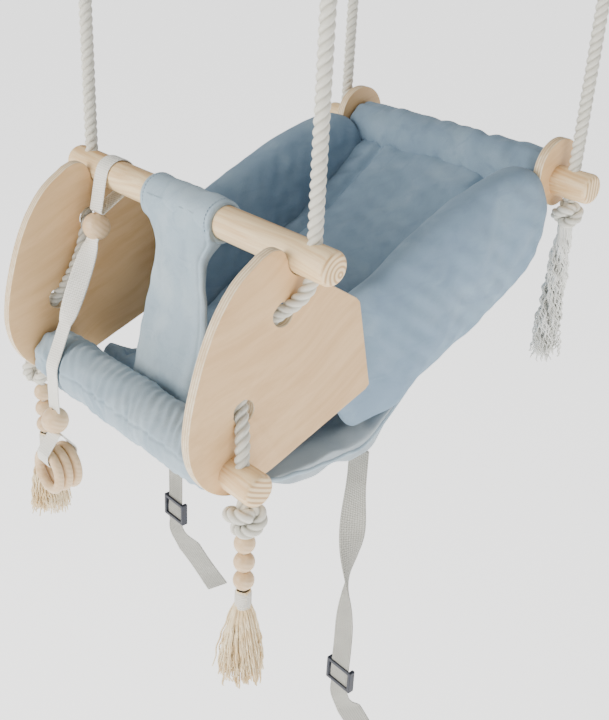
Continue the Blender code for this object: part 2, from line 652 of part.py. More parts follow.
def main():
    rings = pivot("rings_root", 0, -BAR.y, -BAR.z)
    front_ropes = pivot("front_sway", 0, 0, HOOK_Z)
    rear_ropes = pivot("rear_flex", 0, ROPE_SPACING, FLEX_Z)
    seat = pivot("seat_level", 0, 0, FLEX_Z)
    bar = pivot("handlebar_lift", 0, 0, 0)
    toy_y = FRONT_DOWEL[0] - FRONT_ROLL_RADIUS - GAP - TAPE_THICK / 2
    swing = pivot("toy_swing", 0, toy_y, FRONT_DOWEL[1])
    spins = []
    for number in (1, 2, 3):
        spin_y = toy_y + (number - 2) * TOY_RING_PITCH
        spins.append(pivot(f"toy_ring_spin_{number}", TAPE_ROLL_X, spin_y, TOY_RING_Z))

    dowel("handlebar", (0.0, 0.0), bar)
    dowel("front_dowel", FRONT_DOWEL, seat)
    dowel("rear_dowel", REAR_DOWEL, seat)
    padded_roll("front_roll", FRONT_DOWEL, FRONT_ROLL_RADIUS, FRONT_ROLL_HALF, seat)
    padded_roll("rear_roll", REAR_DOWEL, REAR_ROLL_RADIUS, REAR_ROLL_HALF, seat)
    seat_pad(seat)
    crotch_flap(seat, bar)
    toy(bar, swing, spins)
    for which, side in SIDES.items():
        hanging_rope(which, "front", side, 0.0, rings, front_ropes)
        hanging_rope(which, "rear", side, ROPE_SPACING, rings, rear_ropes)
        side_panel(which, side, seat)
        rear_disc(which, side, seat)
        side_wall(which, side, seat)
        knot_foot = FRONT_DOWEL[1] - DOWEL_RADIUS - 2 * KNOT_RADIUS - GAP
        tassel = pivot(f"{which}_tassel_swing", side * KNOT_X, FRONT_DOWEL[0], knot_foot)
        front_rope_tail(which, side, seat, tassel)
        knot_foot = REAR_DOWEL[1] - DOWEL_RADIUS - 2 * REAR_KNOT_RADIUS - GAP
        fringe = pivot(f"{which}_fringe_swing", side * ROPE_X, ROPE_SPACING, knot_foot)
        rear_rope_tail(which, side, seat, fringe)
        strap = pivot(f"{which}_strap_swing", side * STRAP_X, STRAP_Y[which], STRAP_TOP_Z)
        buckle = pivot(f"{which}_buckle_slide", side * STRAP_X, STRAP_Y[which], BUCKLE_Z[which])
        webbing_strap(which, side, strap, buckle)


main()
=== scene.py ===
"""A toddler's bucket swing: plywood sides, three dowels, a padded velvet seat, twisted cotton ropes.

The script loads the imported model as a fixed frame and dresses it. Shapes are written in metres from
the middle of the handlebar: +X is the child's left, -Y the front, +Z up.
"""

import logging
import math
from dataclasses import dataclass, field
from enum import Enum
from typing import Callable, Optional, Sequence

import bmesh
import bpy
import numpy as np
from mathutils import Matrix, Vector
from mathutils.geometry import delaunay_2d_cdt


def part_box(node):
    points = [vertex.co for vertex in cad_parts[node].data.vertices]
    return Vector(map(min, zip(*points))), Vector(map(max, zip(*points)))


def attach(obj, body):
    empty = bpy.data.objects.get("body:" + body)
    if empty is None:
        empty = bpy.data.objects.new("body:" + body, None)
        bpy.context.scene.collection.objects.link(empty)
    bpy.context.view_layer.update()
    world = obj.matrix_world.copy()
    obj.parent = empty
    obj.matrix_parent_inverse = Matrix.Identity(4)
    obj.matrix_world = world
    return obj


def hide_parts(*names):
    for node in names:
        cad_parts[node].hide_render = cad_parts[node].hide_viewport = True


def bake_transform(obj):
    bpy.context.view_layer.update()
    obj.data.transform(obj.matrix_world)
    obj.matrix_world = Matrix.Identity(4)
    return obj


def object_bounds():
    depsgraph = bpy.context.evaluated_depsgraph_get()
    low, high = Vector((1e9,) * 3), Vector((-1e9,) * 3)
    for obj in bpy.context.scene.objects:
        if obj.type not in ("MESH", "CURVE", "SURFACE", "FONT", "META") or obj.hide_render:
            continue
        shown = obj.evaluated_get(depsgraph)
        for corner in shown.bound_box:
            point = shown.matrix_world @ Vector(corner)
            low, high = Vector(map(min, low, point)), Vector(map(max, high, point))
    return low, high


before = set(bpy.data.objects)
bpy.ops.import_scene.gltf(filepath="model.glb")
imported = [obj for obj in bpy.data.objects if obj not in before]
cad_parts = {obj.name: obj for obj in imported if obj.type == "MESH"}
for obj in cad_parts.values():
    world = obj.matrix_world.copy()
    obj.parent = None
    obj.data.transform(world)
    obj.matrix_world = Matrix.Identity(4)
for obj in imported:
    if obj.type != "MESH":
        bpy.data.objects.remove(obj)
CAD_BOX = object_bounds()
LOG = logging.getLogger("swing")

Array = np.ndarray
Socket = bpy.types.NodeSocket
BAR: Array = np.mean([tuple(corner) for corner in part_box("handlebar")], axis=0)

ROPE_X = 0.151
ROPE_SPACING = 0.327
ROPE_RADIUS = 0.006
FLEX_Z = 0.080
DOWEL_RADIUS = 0.014
FRONT_DOWEL = (-0.0635, -0.1645)
REAR_DOWEL = (ROPE_SPACING, 0.004)
FRONT_ROLL_RADIUS = 0.0255
TURN = 2 * math.pi


class Side(Enum):
    """The two sides of the swing, by the sign of X."""

    NEAR = 1
    FAR = -1

    @property
    def word(self) -> str:
        """The side's word in the names of its pieces."""
        return self.name.lower()


# Arrays and lines


def unit(vectors: Array) -> Array:
    """The vectors at length one."""
    return vectors / np.maximum(np.linalg.norm(vectors, axis=-1, keepdims=True), 1e-12)


def lengths(path: Array) -> Array:
    """How far along the path each of its points is."""
    return np.concatenate([[0.0], np.cumsum(np.linalg.norm(np.diff(path, axis=0), axis=1))])


def even(path: Array, count: int) -> Array:
    """The path cut again into equal steps.

    Args:
        path: Points along the line.
        count: How many points to return.

    Returns:
        The points, each read off the line at its own share of the whole length.
    """
    along = lengths(path)
    marks = np.linspace(0, along[-1], count)
    return np.stack([np.interp(marks, along, path[:, k]) for k in range(path.shape[1])], axis=1)


def smooth_line(points: Sequence[Sequence[float]], count: int) -> Array:
    """A rounded line through the points, cut into equal steps.

    Between each two points it is a cubic whose end slopes are the differences of the neighbours.

    Args:
        points: The points that the line passes.
        count: How many points to return.

    Returns:
        The line's points.
    """
    given = np.asarray(points, float)
    knots = lengths(given)
    slope = np.gradient(given, knots, axis=0)
    t = np.linspace(0, knots[-1], 30 * len(given))
    i = np.clip(np.searchsorted(knots, t, side="right") - 1, 0, len(given) - 2)
    width = (knots[i + 1] - knots[i])[:, None]
    s = (t - knots[i])[:, None] / width
    curve = (2 * s**3 - 3 * s**2 + 1) * given[i] + (s**3 - 2 * s**2 + s) * width * slope[i]
    curve += (3 * s**2 - 2 * s**3) * given[i + 1] + (s**3 - s**2) * width * slope[i + 1]
    return even(curve, count)


def headings(path: Array, ring: bool = False) -> Array:
    """The direction of the path at each of its points."""
    if ring:
        return unit(np.roll(path, -1, axis=0) - np.roll(path, 1, axis=0))
    return unit(np.gradient(path, axis=0))


def ripple(u: Array, v: Array, seed: int, shortest: float, longest: float, waves: int = 7) -> Array:
    """Soft folds: a sum of sine waves with seeded directions, lengths and phases, from about -1 to 1.

    Args:
        u: One coordinate of the surface, in metres.
        v: The other, in metres.
        seed: Which set of waves.
        shortest: The shortest wave's length.
        longest: The longest wave's length.
        waves: How many waves are added.

    Returns:
        A height for each point.
    """
    pick = np.random.default_rng(seed)
    total = np.zeros(np.broadcast(u, v).shape)
    for _ in range(waves):
        angle, phase = pick.uniform(0, TURN, 2)
        size = pick.uniform(shortest, longest)
        total += np.sin(TURN * (u * math.cos(angle) + v * math.sin(angle)) / size + phase)
    return total / math.sqrt(2 * waves)


def dome(share: Array, power: float) -> Array:
    """A crown from 0 at both edges to 1 in the middle: (1 - |2t - 1|^p)^(1/p)."""
    return (1 - np.minimum(np.abs(2 * share - 1), 1) ** power) ** (1 / power)


def edge_close(count: int) -> Array:
    """Shares from 0 to 1, closer together towards both ends, on a cosine."""
    return (1 - np.cos(np.pi * np.linspace(0, 1, count))) / 2


# Surfaces


@dataclass
class Shell:
    """A surface in plain arrays.

    Attributes:
        points: Its points.
        faces: Four corners of each face. Corners that share a place are welded later.
        marks: Each face corner's place along and across the surface, in metres.
        depth: For each point, 1 on the outside of a lay or weave and less down in its grooves.
    """

    points: Array
    faces: Array
    marks: Array
    depth: Array

    def outward(self) -> "Shell":
        """The same surface with its faces pointing out, told by the sign of the volume inside it."""
        p = self.points - self.points.mean(axis=0)
        a, b, c, d = (p[self.faces[:, k]] for k in range(4))
        volume = np.einsum("ij,ij->", a, np.cross(b, c)) + np.einsum("ij,ij->", a, np.cross(c, d))
        if volume < 0:
            self.faces, self.marks = self.faces[:, ::-1], self.marks[:, ::-1]
        return self

    def moved(self, offset: Sequence[float]) -> "Shell":
        """The same surface somewhere else."""
        return Shell(self.points + np.asarray(offset, float), self.faces, self.marks, self.depth)


def together(shells: Sequence[Shell]) -> Shell:
    """Several surfaces as one."""
    starts = np.cumsum([0] + [len(s.points) for s in shells[:-1]])
    return Shell(
        np.concatenate([s.points for s in shells]),
        np.concatenate([s.faces + start for s, start in zip(shells, starts)]),
        np.concatenate([s.marks for s in shells]),
        np.concatenate([s.depth for s in shells]),
    )


def lattice(
    points: Array, ring: bool = False, loop: bool = False, capped: bool = False, depth: Optional[Array] = None
) -> Shell:
    """The faces of a grid of points.

    Args:
        points: Rows by columns by three.
        ring: Whether the last row joins the first.
        loop: Whether the last column joins the first.
        capped: Whether each end row is closed to its middle.
        depth: Rows by columns, the groove depth of each point.

    Returns:
        The surface, facing out where it is closed. Its marks are the mean lengths along and across.
    """
    depth = np.ones(points.shape[:2]) if depth is None else depth
    if capped:
        ends = [np.broadcast_to(points[k].mean(axis=0), points[k].shape)[None] for k in (0, -1)]
        points = np.concatenate([ends[0], points, ends[1]])
        depth = np.concatenate([depth[:1], depth, depth[-1:]])
    rows, columns = points.shape[:2]
    index = np.arange(rows * columns).reshape(rows, columns)
    path = points
    if ring:
        index, path = np.vstack([index, index[:1]]), np.concatenate([path, path[:1]])
    if loop:
        index, path = np.hstack([index, index[:, :1]]), np.concatenate([path, path[:, :1]], axis=1)
    u = np.concatenate([[0.0], np.cumsum(np.linalg.norm(np.diff(path, axis=0), axis=2).mean(axis=1))])
    v = np.concatenate([[0.0], np.cumsum(np.linalg.norm(np.diff(path, axis=1), axis=2).mean(axis=0))])
    marks = np.stack(np.meshgrid(u, v, indexing="ij"), axis=-1)

    def corners(grid: Array) -> Array:
        """The four corners of each cell of a grid."""
        return np.stack([grid[:-1, :-1], grid[1:, :-1], grid[1:, 1:], grid[:-1, 1:]], axis=2)

    faces = corners(index).reshape(-1, 4)
    shell = Shell(points.reshape(-1, 3), faces, corners(marks).reshape(-1, 4, 2), depth.ravel())
    return shell.outward()


def carried(section: Array, path: Array, across: Array, ring: bool = False) -> Array:
    """A section carried along a path.

    Each point is the path's point, plus a times the across direction made square to the path, plus b
    times the direction square to both.

    Args:
        section: Pairs (a, b), the same for all rows, or rows by columns by two.
        path: The points that the section follows.
        across: The direction of a, one for all rows or one for each.
        ring: Whether the path closes on itself.

    Returns:
        Rows by columns by three.
    """
    way = headings(path, ring)
    across = np.broadcast_to(np.asarray(across, float), path.shape)
    first = unit(across - np.einsum("ij,ij->i", across, way)[:, None] * way)
    second = np.cross(way, first)
    section = np.broadcast_to(section, (len(path),) + section.shape[-2:])
    return path[:, None] + section[..., :1] * first[:, None] + section[..., 1:] * second[:, None]


def circle_section(radius: float, sides: int) -> Array:
    """Points round a circle."""
    angle = TURN * np.arange(sides) / sides
    return radius * np.stack([np.cos(angle), np.sin(angle)], axis=1)


def tube(path: Array, radius: float, across: Array, sides: int = 12, ring: bool = False) -> Shell:
    """A round tube along a path, with closed ends."""
    return lattice(carried(circle_section(radius, sides), path, across, ring), ring, True, not ring)


def laid_rope(path: Array, radius: float, pitch: float, across: Array, ring: bool = False) -> Shell:
    """A rope of three strands.

    Its section is three round lobes: for an angle d off the nearest lobe's middle the radius is
    h cos d + sqrt(s^2 - h^2 sin^2 d), with s a strand's radius and h its middle's. The section turns
    once in each pitch.

    Args:
        path: The rope's middle line.
        radius: The rope's radius over its strands.
        pitch: The length of one turn.
        across: A direction that is never along the path.
        ring: Whether the path closes on itself.

    Returns:
        The rope, whose depth is its radius over the greatest.
    """
    strand = radius / 1.64
    heart = radius - strand
    turn = TURN * np.arange(42) / 42
    off = (turn + TURN / 6) % (TURN / 3) - TURN / 6
    reach = heart * np.cos(off) + np.sqrt(strand**2 - (heart * np.sin(off)) ** 2)
    along = lengths(path)
    whole = along[-1] + (np.linalg.norm(path[0] - path[-1]) if ring else 0.0)
    turns = round(whole / pitch) if ring else whole / pitch
    angle = turn[None, :] + TURN * turns * (along / whole)[:, None]
    section = reach[None, :, None] * np.stack([np.cos(angle), np.sin(angle)], axis=2)
    depth = np.broadcast_to(reach / radius, angle.shape)
    return lattice(carried(section, path, across, ring), ring, True, not ring, depth)


def turned(profile: Array, axis: int, segments: int = 72, ring: bool = False) -> Shell:
    """A profile turned about an axis through the origin.

    Args:
        profile: Pairs (radius, place along the axis).
        axis: 0 for X, 1 for Y, 2 for Z.
        segments: How many steps go round.
        ring: Whether the profile closes on itself.

    Returns:
        The turned surface.
    """
    angle = TURN * np.arange(segments) / segments
    points = np.zeros((len(profile), segments, 3))
    points[..., axis] = profile[:, 1:2]
    points[..., (axis + 1) % 3] = profile[:, :1] * np.cos(angle)
    points[..., (axis + 2) % 3] = profile[:, :1] * np.sin(angle)
    return lattice(points, ring, True, not ring)


def bead(centre: Sequence[float], radius: float, hole: float = 0.0028) -> Shell:
    """A ball with a hole down through it: an arc from the hole's top rim to its bottom rim, and back up the hole."""
    rim = math.asin(hole / radius)
    arc = np.linspace(rim, math.pi - rim, 30)
    outside = np.stack([radius * np.sin(arc), radius * np.cos(arc)], axis=1)
    inside = np.stack([np.full(6, hole * 0.86), np.linspace(-1, 1, 6) * radius * math.cos(rim) * 0.97], axis=1)
    return turned(np.concatenate([outside, inside]), 2, 44, ring=True).moved(centre)


def hoop(centre: Sequence[float], major: float, wire: float) -> Shell:
    """A round ring that stands across Y."""
    angle = TURN * np.arange(90) / 90
    path = np.stack([major * np.cos(angle), np.zeros(90), major * np.sin(angle)], axis=1)
    return lattice(carried(circle_section(wire, 24), path, path, True), True, True).moved(centre)


def block(low: Sequence[float], high: Sequence[float]) -> Shell:
    """A plain bar between two corners, which a bevel rounds later."""
    share = np.array([[(0, 0), (1, 0), (1, 1), (0, 1)]] * 2, float)
    corners = np.concatenate([share, np.array([0.0, 1.0])[:, None, None] * np.ones((2, 4, 1))], axis=2)
    low, high = np.minimum(low, high), np.maximum(low, high)
    return lattice(low + corners * (high - low), loop=True, capped=True)


def pillow(top: Array, bottom: Array, crown: Array) -> Shell:
    """A closed pad between two grids that meet in a seam all round.

    Each point is the middle of its pair, plus its own half of their distance times the crown.

    Args:
        top: Rows by columns by three.
        bottom: The same points on the other face.
        crown: Rows by columns, 0 on the border and 1 where the pad is full.

    Returns:
        The closed pad.
    """
    middle = (top + bottom) / 2
    over = middle + (top - middle) * crown[..., None]
    under = middle + (bottom - middle) * crown[..., None]
    return lattice(np.concatenate([over, under[:, -2:0:-1]], axis=1), loop=True)


def spindles(places: Array, ways: Array, length: float, radius: float) -> Shell:
    """Many short threads at once, each a six-sided spindle: radius times the root of 1 - t^2 along t."""
    t = np.linspace(-1, 1, 5)
    turn = TURN * np.arange(6) / 6
    out = unit(np.cross(ways, np.array([0.31, 0.52, 0.79])))
    up = np.cross(ways, out)
    width = radius * np.sqrt(np.maximum(1 - t**2, 0.03))[None, :, None, None]
    round_ = np.cos(turn)[None, None, :, None] * out[:, None, None] + np.sin(turn)[None, None, :, None] * up[:, None, None]
    points = places[:, None, None] + ways[:, None, None] * (t * length / 2)[None, :, None, None] + round_ * width
    return together([lattice(each, loop=True, capped=True) for each in points])


def stitches(path: Array, pitch: float = 0.0032, length: float = 0.0023, radius: float = 0.00035) -> Shell:
    """A row of thread stitches along a line on a surface."""
    line = even(path, max(3, int(lengths(path)[-1] / pitch)))
    return spindles(line, headings(line), length, radius)


def strands(lines: Array, radius: Array, sides: int = 5) -> Shell:
    """Many hanging threads at once: a small level circle carried down each line.

    Args:
        lines: Threads by rows by three.
        radius: Threads by rows.
        sides: How many sides each thread has.

    Returns:
        All the threads in one surface.
    """
    turn = TURN * np.arange(sides) / sides
    level = np.stack([np.cos(turn), np.sin(turn), np.zeros(sides)], axis=1)
    points = lines[:, :, None] + radius[:, :, None, None] * level
    return together([lattice(each, loop=True, capped=True) for each in points])


def belt(circles: Sequence[tuple[Sequence[float], float]], count: int) -> Array:
    """The path of a belt pulled tight round circles in the YZ plane.

    For each direction round the turn, the belt's point is on the circle that reaches furthest that way:
    its centre plus its radius times the direction.

    Args:
        circles: Centres (y, z) and radii.
        count: How many points to return.

    Returns:
        Pairs (y, z), evenly spaced, the first not repeated.
    """
    angle = np.linspace(0, TURN, 1441)
    way = np.stack([np.cos(angle), np.sin(angle)], axis=1)
    centres = np.array([c for c, _ in circles])
    radii = np.array([r for _, r in circles])
    furthest = np.argmax(way @ centres.T + radii, axis=1)
    return even(centres[furthest] + radii[furthest, None] * way, count + 1)[:-1]


def piece(
    shell: Shell,
    name: str,
    finish: "Finish",
    body: str,
    stands_for: Sequence[str] = (),
    sharp: Optional[float] = None,
    bevel: float = 0.0,
    bend: Optional[tuple[str, Sequence[float], Sequence[float]]] = None,
) -> bpy.types.Object:
    """Makes a finished piece and hangs it from its body, unless it is given a bend.

    Args:
        shell: Its surface, from the handlebar's middle.
        name: The piece's name.
        finish: What it is made of.
        body: The body that it moves with.
        stands_for: The nodes that it replaces.
        sharp: The angle in degrees past which an edge shows.
        bevel: The width of a rounded edge.
        bend: The other body and two points for a piece meant to bend between them. Only whether it is given is read:
            such a piece is not bent, and is left in place without being hung from its body.

    Returns:
        The piece.
    """
    mesh = bpy.data.meshes.new(name)
    mesh.from_pydata(shell.points + BAR, [], shell.faces)
    mesh.uv_layers.new(name="Marks").data.foreach_set("uv", shell.marks.astype(np.float32).ravel())
    mesh.attributes.new("depth", "FLOAT", "POINT").data.foreach_set("value", shell.depth.astype(np.float32))
    work = bmesh.new()
    work.from_mesh(mesh)
    bmesh.ops.remove_doubles(work, verts=work.verts, dist=2e-6)
    work.to_mesh(mesh)
    work.free()
    mesh.shade_smooth()
    if sharp is not None:
        mesh.set_sharp_from_angle(angle=math.radians(sharp))
    mesh.materials.append(finish.material())
    obj = bpy.data.objects.new(name, mesh)
    bpy.context.scene.collection.objects.link(obj)
    if bevel:
        edge = obj.modifiers.new("edge", "BEVEL")
        edge.width, edge.segments, edge.limit_method = bevel, 3, "ANGLE"
        edge.angle_limit = math.radians(40)
    if bend:
        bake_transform(obj)
    else:
        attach(obj, body)
    if stands_for:
        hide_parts(*stands_for)
    LOG.info("%s: %d points, rides on %s", name, len(mesh.vertices), body)
    return obj


# Materials


def tone(code: str) -> tuple[float, float, float, float]:
    """A colour written as six hex digits, in linear light."""
    share = np.array([int(code[k : k + 2], 16) / 255 for k in (0, 2, 4)])
    linear = np.where(share <= 0.04045, share / 12.92, ((share + 0.055) / 1.055) ** 2.4)
    return (*(float(c) for c in linear), 1.0)


class Graph:
    """A node tree that is being drawn."""

    def __init__(self, tree: bpy.types.NodeTree) -> None:
        """Keeps the tree."""
        self.tree = tree

    def add(self, kind: str, settings: Optional[dict] = None, **inputs: object) -> bpy.types.Node:
        """Adds a node.

        Args:
            kind: The node's type, without its ShaderNode prefix.
            settings: Attributes of the node itself.
            inputs: Its inputs by name, an underscore for a space, each a value or a socket. A name
                ending in a number after two underscores picks the input by its place.

        Returns:
            The node.
        """
        node = self.tree.nodes.new(kind if kind.startswith("Node") else "ShaderNode" + kind)
        for key, value in (settings or {}).items():
            setattr(node, key, value)
        for key, value in inputs.items():
            target = node.inputs[int(key[2:])] if key.startswith("__") else node.inputs[key.replace("_", " ")]
            if isinstance(value, bpy.types.NodeSocket):
                self.tree.links.new(value, target)
            else:
                target.default_value = value
        return node

    def sum(self, operation: str, a: object, b: object = 0.0, c: object = 0.0) -> Socket:
        """The result of a sum on one to three numbers."""
        return self.add("Math", {"operation": operation}, __0=a, __1=b, __2=c).outputs[0]

    def blend(self, share: object, a: object, b: object, way: str = "MIX") -> Socket:
        """Two colours mixed."""
        node = self.add("Mix", {"data_type": "RGBA", "blend_type": way})
        for place, value in ((0, share), (6, a), (7, b)):
            if isinstance(value, bpy.types.NodeSocket):
                self.tree.links.new(value, node.inputs[place])
            else:
                node.inputs[place].default_value = value
        return node.outputs[2]

    def stretch(self, value: object, low: float, high: float, to_low: float = 0.0, to_high: float = 1.0) -> Socket:
        """A number moved from one range to another, held inside it."""
        node = self.add("MapRange", {"clamp": True}, Value=value, From_Min=low, From_Max=high)
        node.inputs["To Min"].default_value, node.inputs["To Max"].default_value = to_low, to_high
        return node.outputs["Result"]


class Effect(Enum):
    """The effects that several finishes share, each a node group."""

    GRAIN = "grain"
    PILE = "pile"
    THREADS = "threads"
    WEAVE = "weave"

    def group(self) -> bpy.types.NodeTree:
        """The effect's node group, made once."""
        made = bpy.data.node_groups.get(self.value)
        return made or EFFECTS[self]()


def new_group(name: str, inputs: dict, outputs: Sequence[str]) -> tuple[Graph, bpy.types.Node, bpy.types.Node]:
    """Starts a shader node group.

    Args:
        name: The group's name.
        inputs: Each input's name and its default: a number, a colour, or None for a vector.
        outputs: The outputs' names. Color is a colour and the others are numbers.

    Returns:
        The group's graph, its input node and its output node.
    """
    tree = bpy.data.node_groups.new(name, "ShaderNodeTree")
    for key, value in inputs.items():
        kind = "Vector" if value is None else "Float" if isinstance(value, float) else "Color"
        made = tree.interface.new_socket(name=key, in_out="INPUT", socket_type="NodeSocket" + kind)
        if value is not None:
            made.default_value = value
    for key in outputs:
        kind = "Color" if key == "Color" else "Float"
        tree.interface.new_socket(name=key, in_out="OUTPUT", socket_type="NodeSocket" + kind)
    graph = Graph(tree)
    return graph, tree.nodes.new("NodeGroupInput"), tree.nodes.new("NodeGroupOutput")


def grain_group() -> bpy.types.NodeTree:
    """Wood grain: long streaks along X of the given coordinates, bent by a slow noise, and fine pores."""
    g, given, result = new_group("grain", {"Vector": None, "Light": (1,) * 4, "Dark": (0.5,) * 4}, ("Color", "Height"))
    bend = g.add("TexNoise", Vector=given.outputs["Vector"], Scale=5.0, Detail=2.0)
    pull = g.add("VectorMath", {"operation": "SCALE"}, __0=bend.outputs["Color"], Scale=0.035)
    moved = g.add("VectorMath", {"operation": "ADD"}, __0=given.outputs["Vector"], __1=pull.outputs[0])
    long_ = g.add("Mapping", Vector=moved.outputs[0], Scale=(4.0, 300.0, 300.0))
    streak = g.add("TexNoise", Vector=long_.outputs[0], Scale=1.0, Detail=5.0, Roughness=0.62)
    wide = g.add("Mapping", Vector=moved.outputs[0], Scale=(2.5, 55.0, 55.0))
    band = g.add("TexNoise", Vector=wide.outputs[0], Scale=1.0, Detail=2.0)
    fine = g.add("Mapping", Vector=moved.outputs[0], Scale=(70.0, 1500.0, 1500.0))
    pores = g.add("TexNoise", Vector=fine.outputs[0], Scale=1.0, Detail=2.0)
    a = g.stretch(streak.outputs[0], 0.40, 0.66)
    b = g.stretch(band.outputs[0], 0.42, 0.62)
    mask = g.sum("MULTIPLY_ADD", a, 0.6, g.sum("MULTIPLY", b, 0.4))
    dotted = g.stretch(pores.outputs[0], 0.55, 0.75, 0.0, 0.35)
    shade = g.sum("MAXIMUM", mask, dotted)
    g.tree.links.new(g.blend(shade, given.outputs["Light"], given.outputs["Dark"]), result.inputs["Color"])
    g.tree.links.new(g.sum("SUBTRACT", 1.0, shade), result.inputs["Height"])
    return g.tree


def pile_group() -> bpy.types.NodeTree:
    """Velvet pile: brushed patches that lie lighter or darker, and a fine nap."""
    inputs = {"Vector": None, "Base": (0.5,) * 4, "Brushed": (0.6,) * 4, "Shade": (0.4,) * 4}
    g, given, result = new_group("pile", inputs, ("Color", "Height"))
    patch = g.add("TexNoise", Vector=given.outputs["Vector"], Scale=16.0, Detail=3.0, Roughness=0.55, Distortion=0.7)
    streak = g.add("Mapping", Vector=given.outputs["Vector"], Scale=(60.0, 26.0, 60.0))
    brush = g.add("TexNoise", Vector=streak.outputs[0], Scale=1.0, Detail=4.0, Roughness=0.6, Distortion=1.0)
    nap = g.add("TexNoise", Vector=given.outputs["Vector"], Scale=1500.0, Detail=2.0)
    fuzz = g.add("TexNoise", Vector=given.outputs["Vector"], Scale=420.0, Detail=3.0)
    lighter = g.blend(g.stretch(patch.outputs[0], 0.45, 0.68), given.outputs["Base"], given.outputs["Brushed"])
    streaked = g.blend(g.stretch(brush.outputs[0], 0.50, 0.72, 0.0, 0.55), lighter, given.outputs["Shade"])
    napped = g.blend(g.stretch(nap.outputs[0], 0.35, 0.65, 0.0, 0.28), streaked, given.outputs["Shade"])
    g.tree.links.new(napped, result.inputs["Color"])
    height = g.sum("MULTIPLY_ADD", fuzz.outputs[0], 0.5, nap.outputs[0])
    g.tree.links.new(height, result.inputs["Height"])
    return g.tree


def threads_group() -> bpy.types.NodeTree:
    """Parallel yarns along a slant of the marks, with loose fibres over them."""
    g, given, result = new_group("threads", {"Vector": None, "Pitch": 0.001, "Slant": 0.8}, ("Mask", "Height"))
    turn = g.add("VectorRotate", {"rotation_type": "Z_AXIS"}, Vector=given.outputs["Vector"], Angle=given.outputs["Slant"])
    split = g.add("SeparateXYZ", Vector=turn.outputs[0])
    wave = g.sum("SINE", g.sum("MULTIPLY", g.sum("DIVIDE", split.outputs[0], given.outputs["Pitch"]), TURN))
    smooth = g.sum("MULTIPLY_ADD", wave, 0.5, 0.5)
    fibre = g.add("TexNoise", Vector=given.outputs["Vector"], Scale=1800.0, Detail=3.0)
    # The mask is the yarn relief itself: used as a colour it paints shade between the yarns, with a random fibre tone.
    mask = g.sum("MULTIPLY_ADD", fibre.outputs[0], 0.5, g.sum("MULTIPLY", smooth, 0.6))
    g.tree.links.new(mask, result.inputs["Mask"])
    g.tree.links.new(mask, result.inputs["Height"])
    return g.tree


def weave_group() -> bpy.types.NodeTree:
    """A plain weave on the marks: warp and weft waves that cross over in turn, on squares of one thread."""
    g, given, result = new_group("weave", {"Vector": None, "Warp": 0.001, "Weft": 0.001}, ("Mask", "Height"))
    split = g.add("SeparateXYZ", Vector=given.outputs["Vector"])
    x = g.sum("DIVIDE", split.outputs[0], given.outputs["Weft"])
    y = g.sum("DIVIDE", split.outputs[1], given.outputs["Warp"])
    odd = g.sum("MODULO", g.sum("ADD", g.sum("FLOOR", x), g.sum("FLOOR", y)), 2.0)
    odd = g.sum("ABSOLUTE", odd)
    over = g.sum("ABSOLUTE", g.sum("SINE", g.sum("MULTIPLY", x, math.pi)))
    under = g.sum("ABSOLUTE", g.sum("SINE", g.sum("MULTIPLY", y, math.pi)))
    first = g.sum("MULTIPLY", over, odd)
    second = g.sum("MULTIPLY", under, g.sum("SUBTRACT", 1.0, odd))
    height = g.sum("ADD", first, second)
    fibre = g.add("TexNoise", Vector=given.outputs["Vector"], Scale=2200.0, Detail=2.0)
    # The mask follows the weave's height: used as a colour it paints shade where the threads dip under, with a random
    # fibre tone.
    mask = g.sum("MULTIPLY_ADD", fibre.outputs[0], 0.4, g.sum("MULTIPLY", height, 0.7))
    g.tree.links.new(mask, result.inputs["Mask"])
    g.tree.links.new(height, result.inputs["Height"])
    return g.tree


EFFECTS: dict[Effect, Callable[[], bpy.types.NodeTree]] = {
    Effect.GRAIN: grain_group,
    Effect.PILE: pile_group,
    Effect.THREADS: threads_group,
    Effect.WEAVE: weave_group,
}


@dataclass(frozen=True)
class Finish:
    """What a piece is made of. Each kind of finish draws its own nodes.

    Attributes:
        name: The material's name.
        slot: Not used.
        rough: How dull it is.
    """

    name: str
    slot: str
    rough: float = 0.6

    def material(self) -> bpy.types.Material:
        """The finish's material, made once."""
        made = bpy.data.materials.get(self.name)
        if made:
            return made
        made = bpy.data.materials.new(self.name)
        made.use_nodes = True
        graph = Graph(made.node_tree)
        shader = made.node_tree.nodes["Principled BSDF"]
        shader.inputs["Roughness"].default_value = self.rough
        self.draw(graph, shader)
        return made

    def draw(self, g: Graph, shader: bpy.types.Node) -> None:
        """Adds the finish's own nodes."""
        raise NotImplementedError

    def colour(self, g: Graph, shader: bpy.types.Node, source: Socket) -> None:
        """Leads a colour to the shader."""
        g.tree.links.new(source, shader.inputs["Base Color"])

    def bump(self, g: Graph, shader: bpy.types.Node, height: Socket, distance: float, strength: float = 1.0) -> None:
        """Leads a height to the shader's normal.

        Args:
            g: The material's graph.
            shader: Its shader.
            height: The height, from 0 to 1.
            distance: How high 1 is, in metres.
            strength: How much of it is used.
        """
        node = g.add("Bump", Height=height, Distance=distance, Strength=strength)
        g.tree.links.new(node.outputs[0], shader.inputs["Normal"])

    def effect(self, g: Graph, which: Effect, **inputs: object) -> bpy.types.Node:
        """Places a shared effect."""
        return g.add("Group", {"node_tree": which.group()}, **inputs)


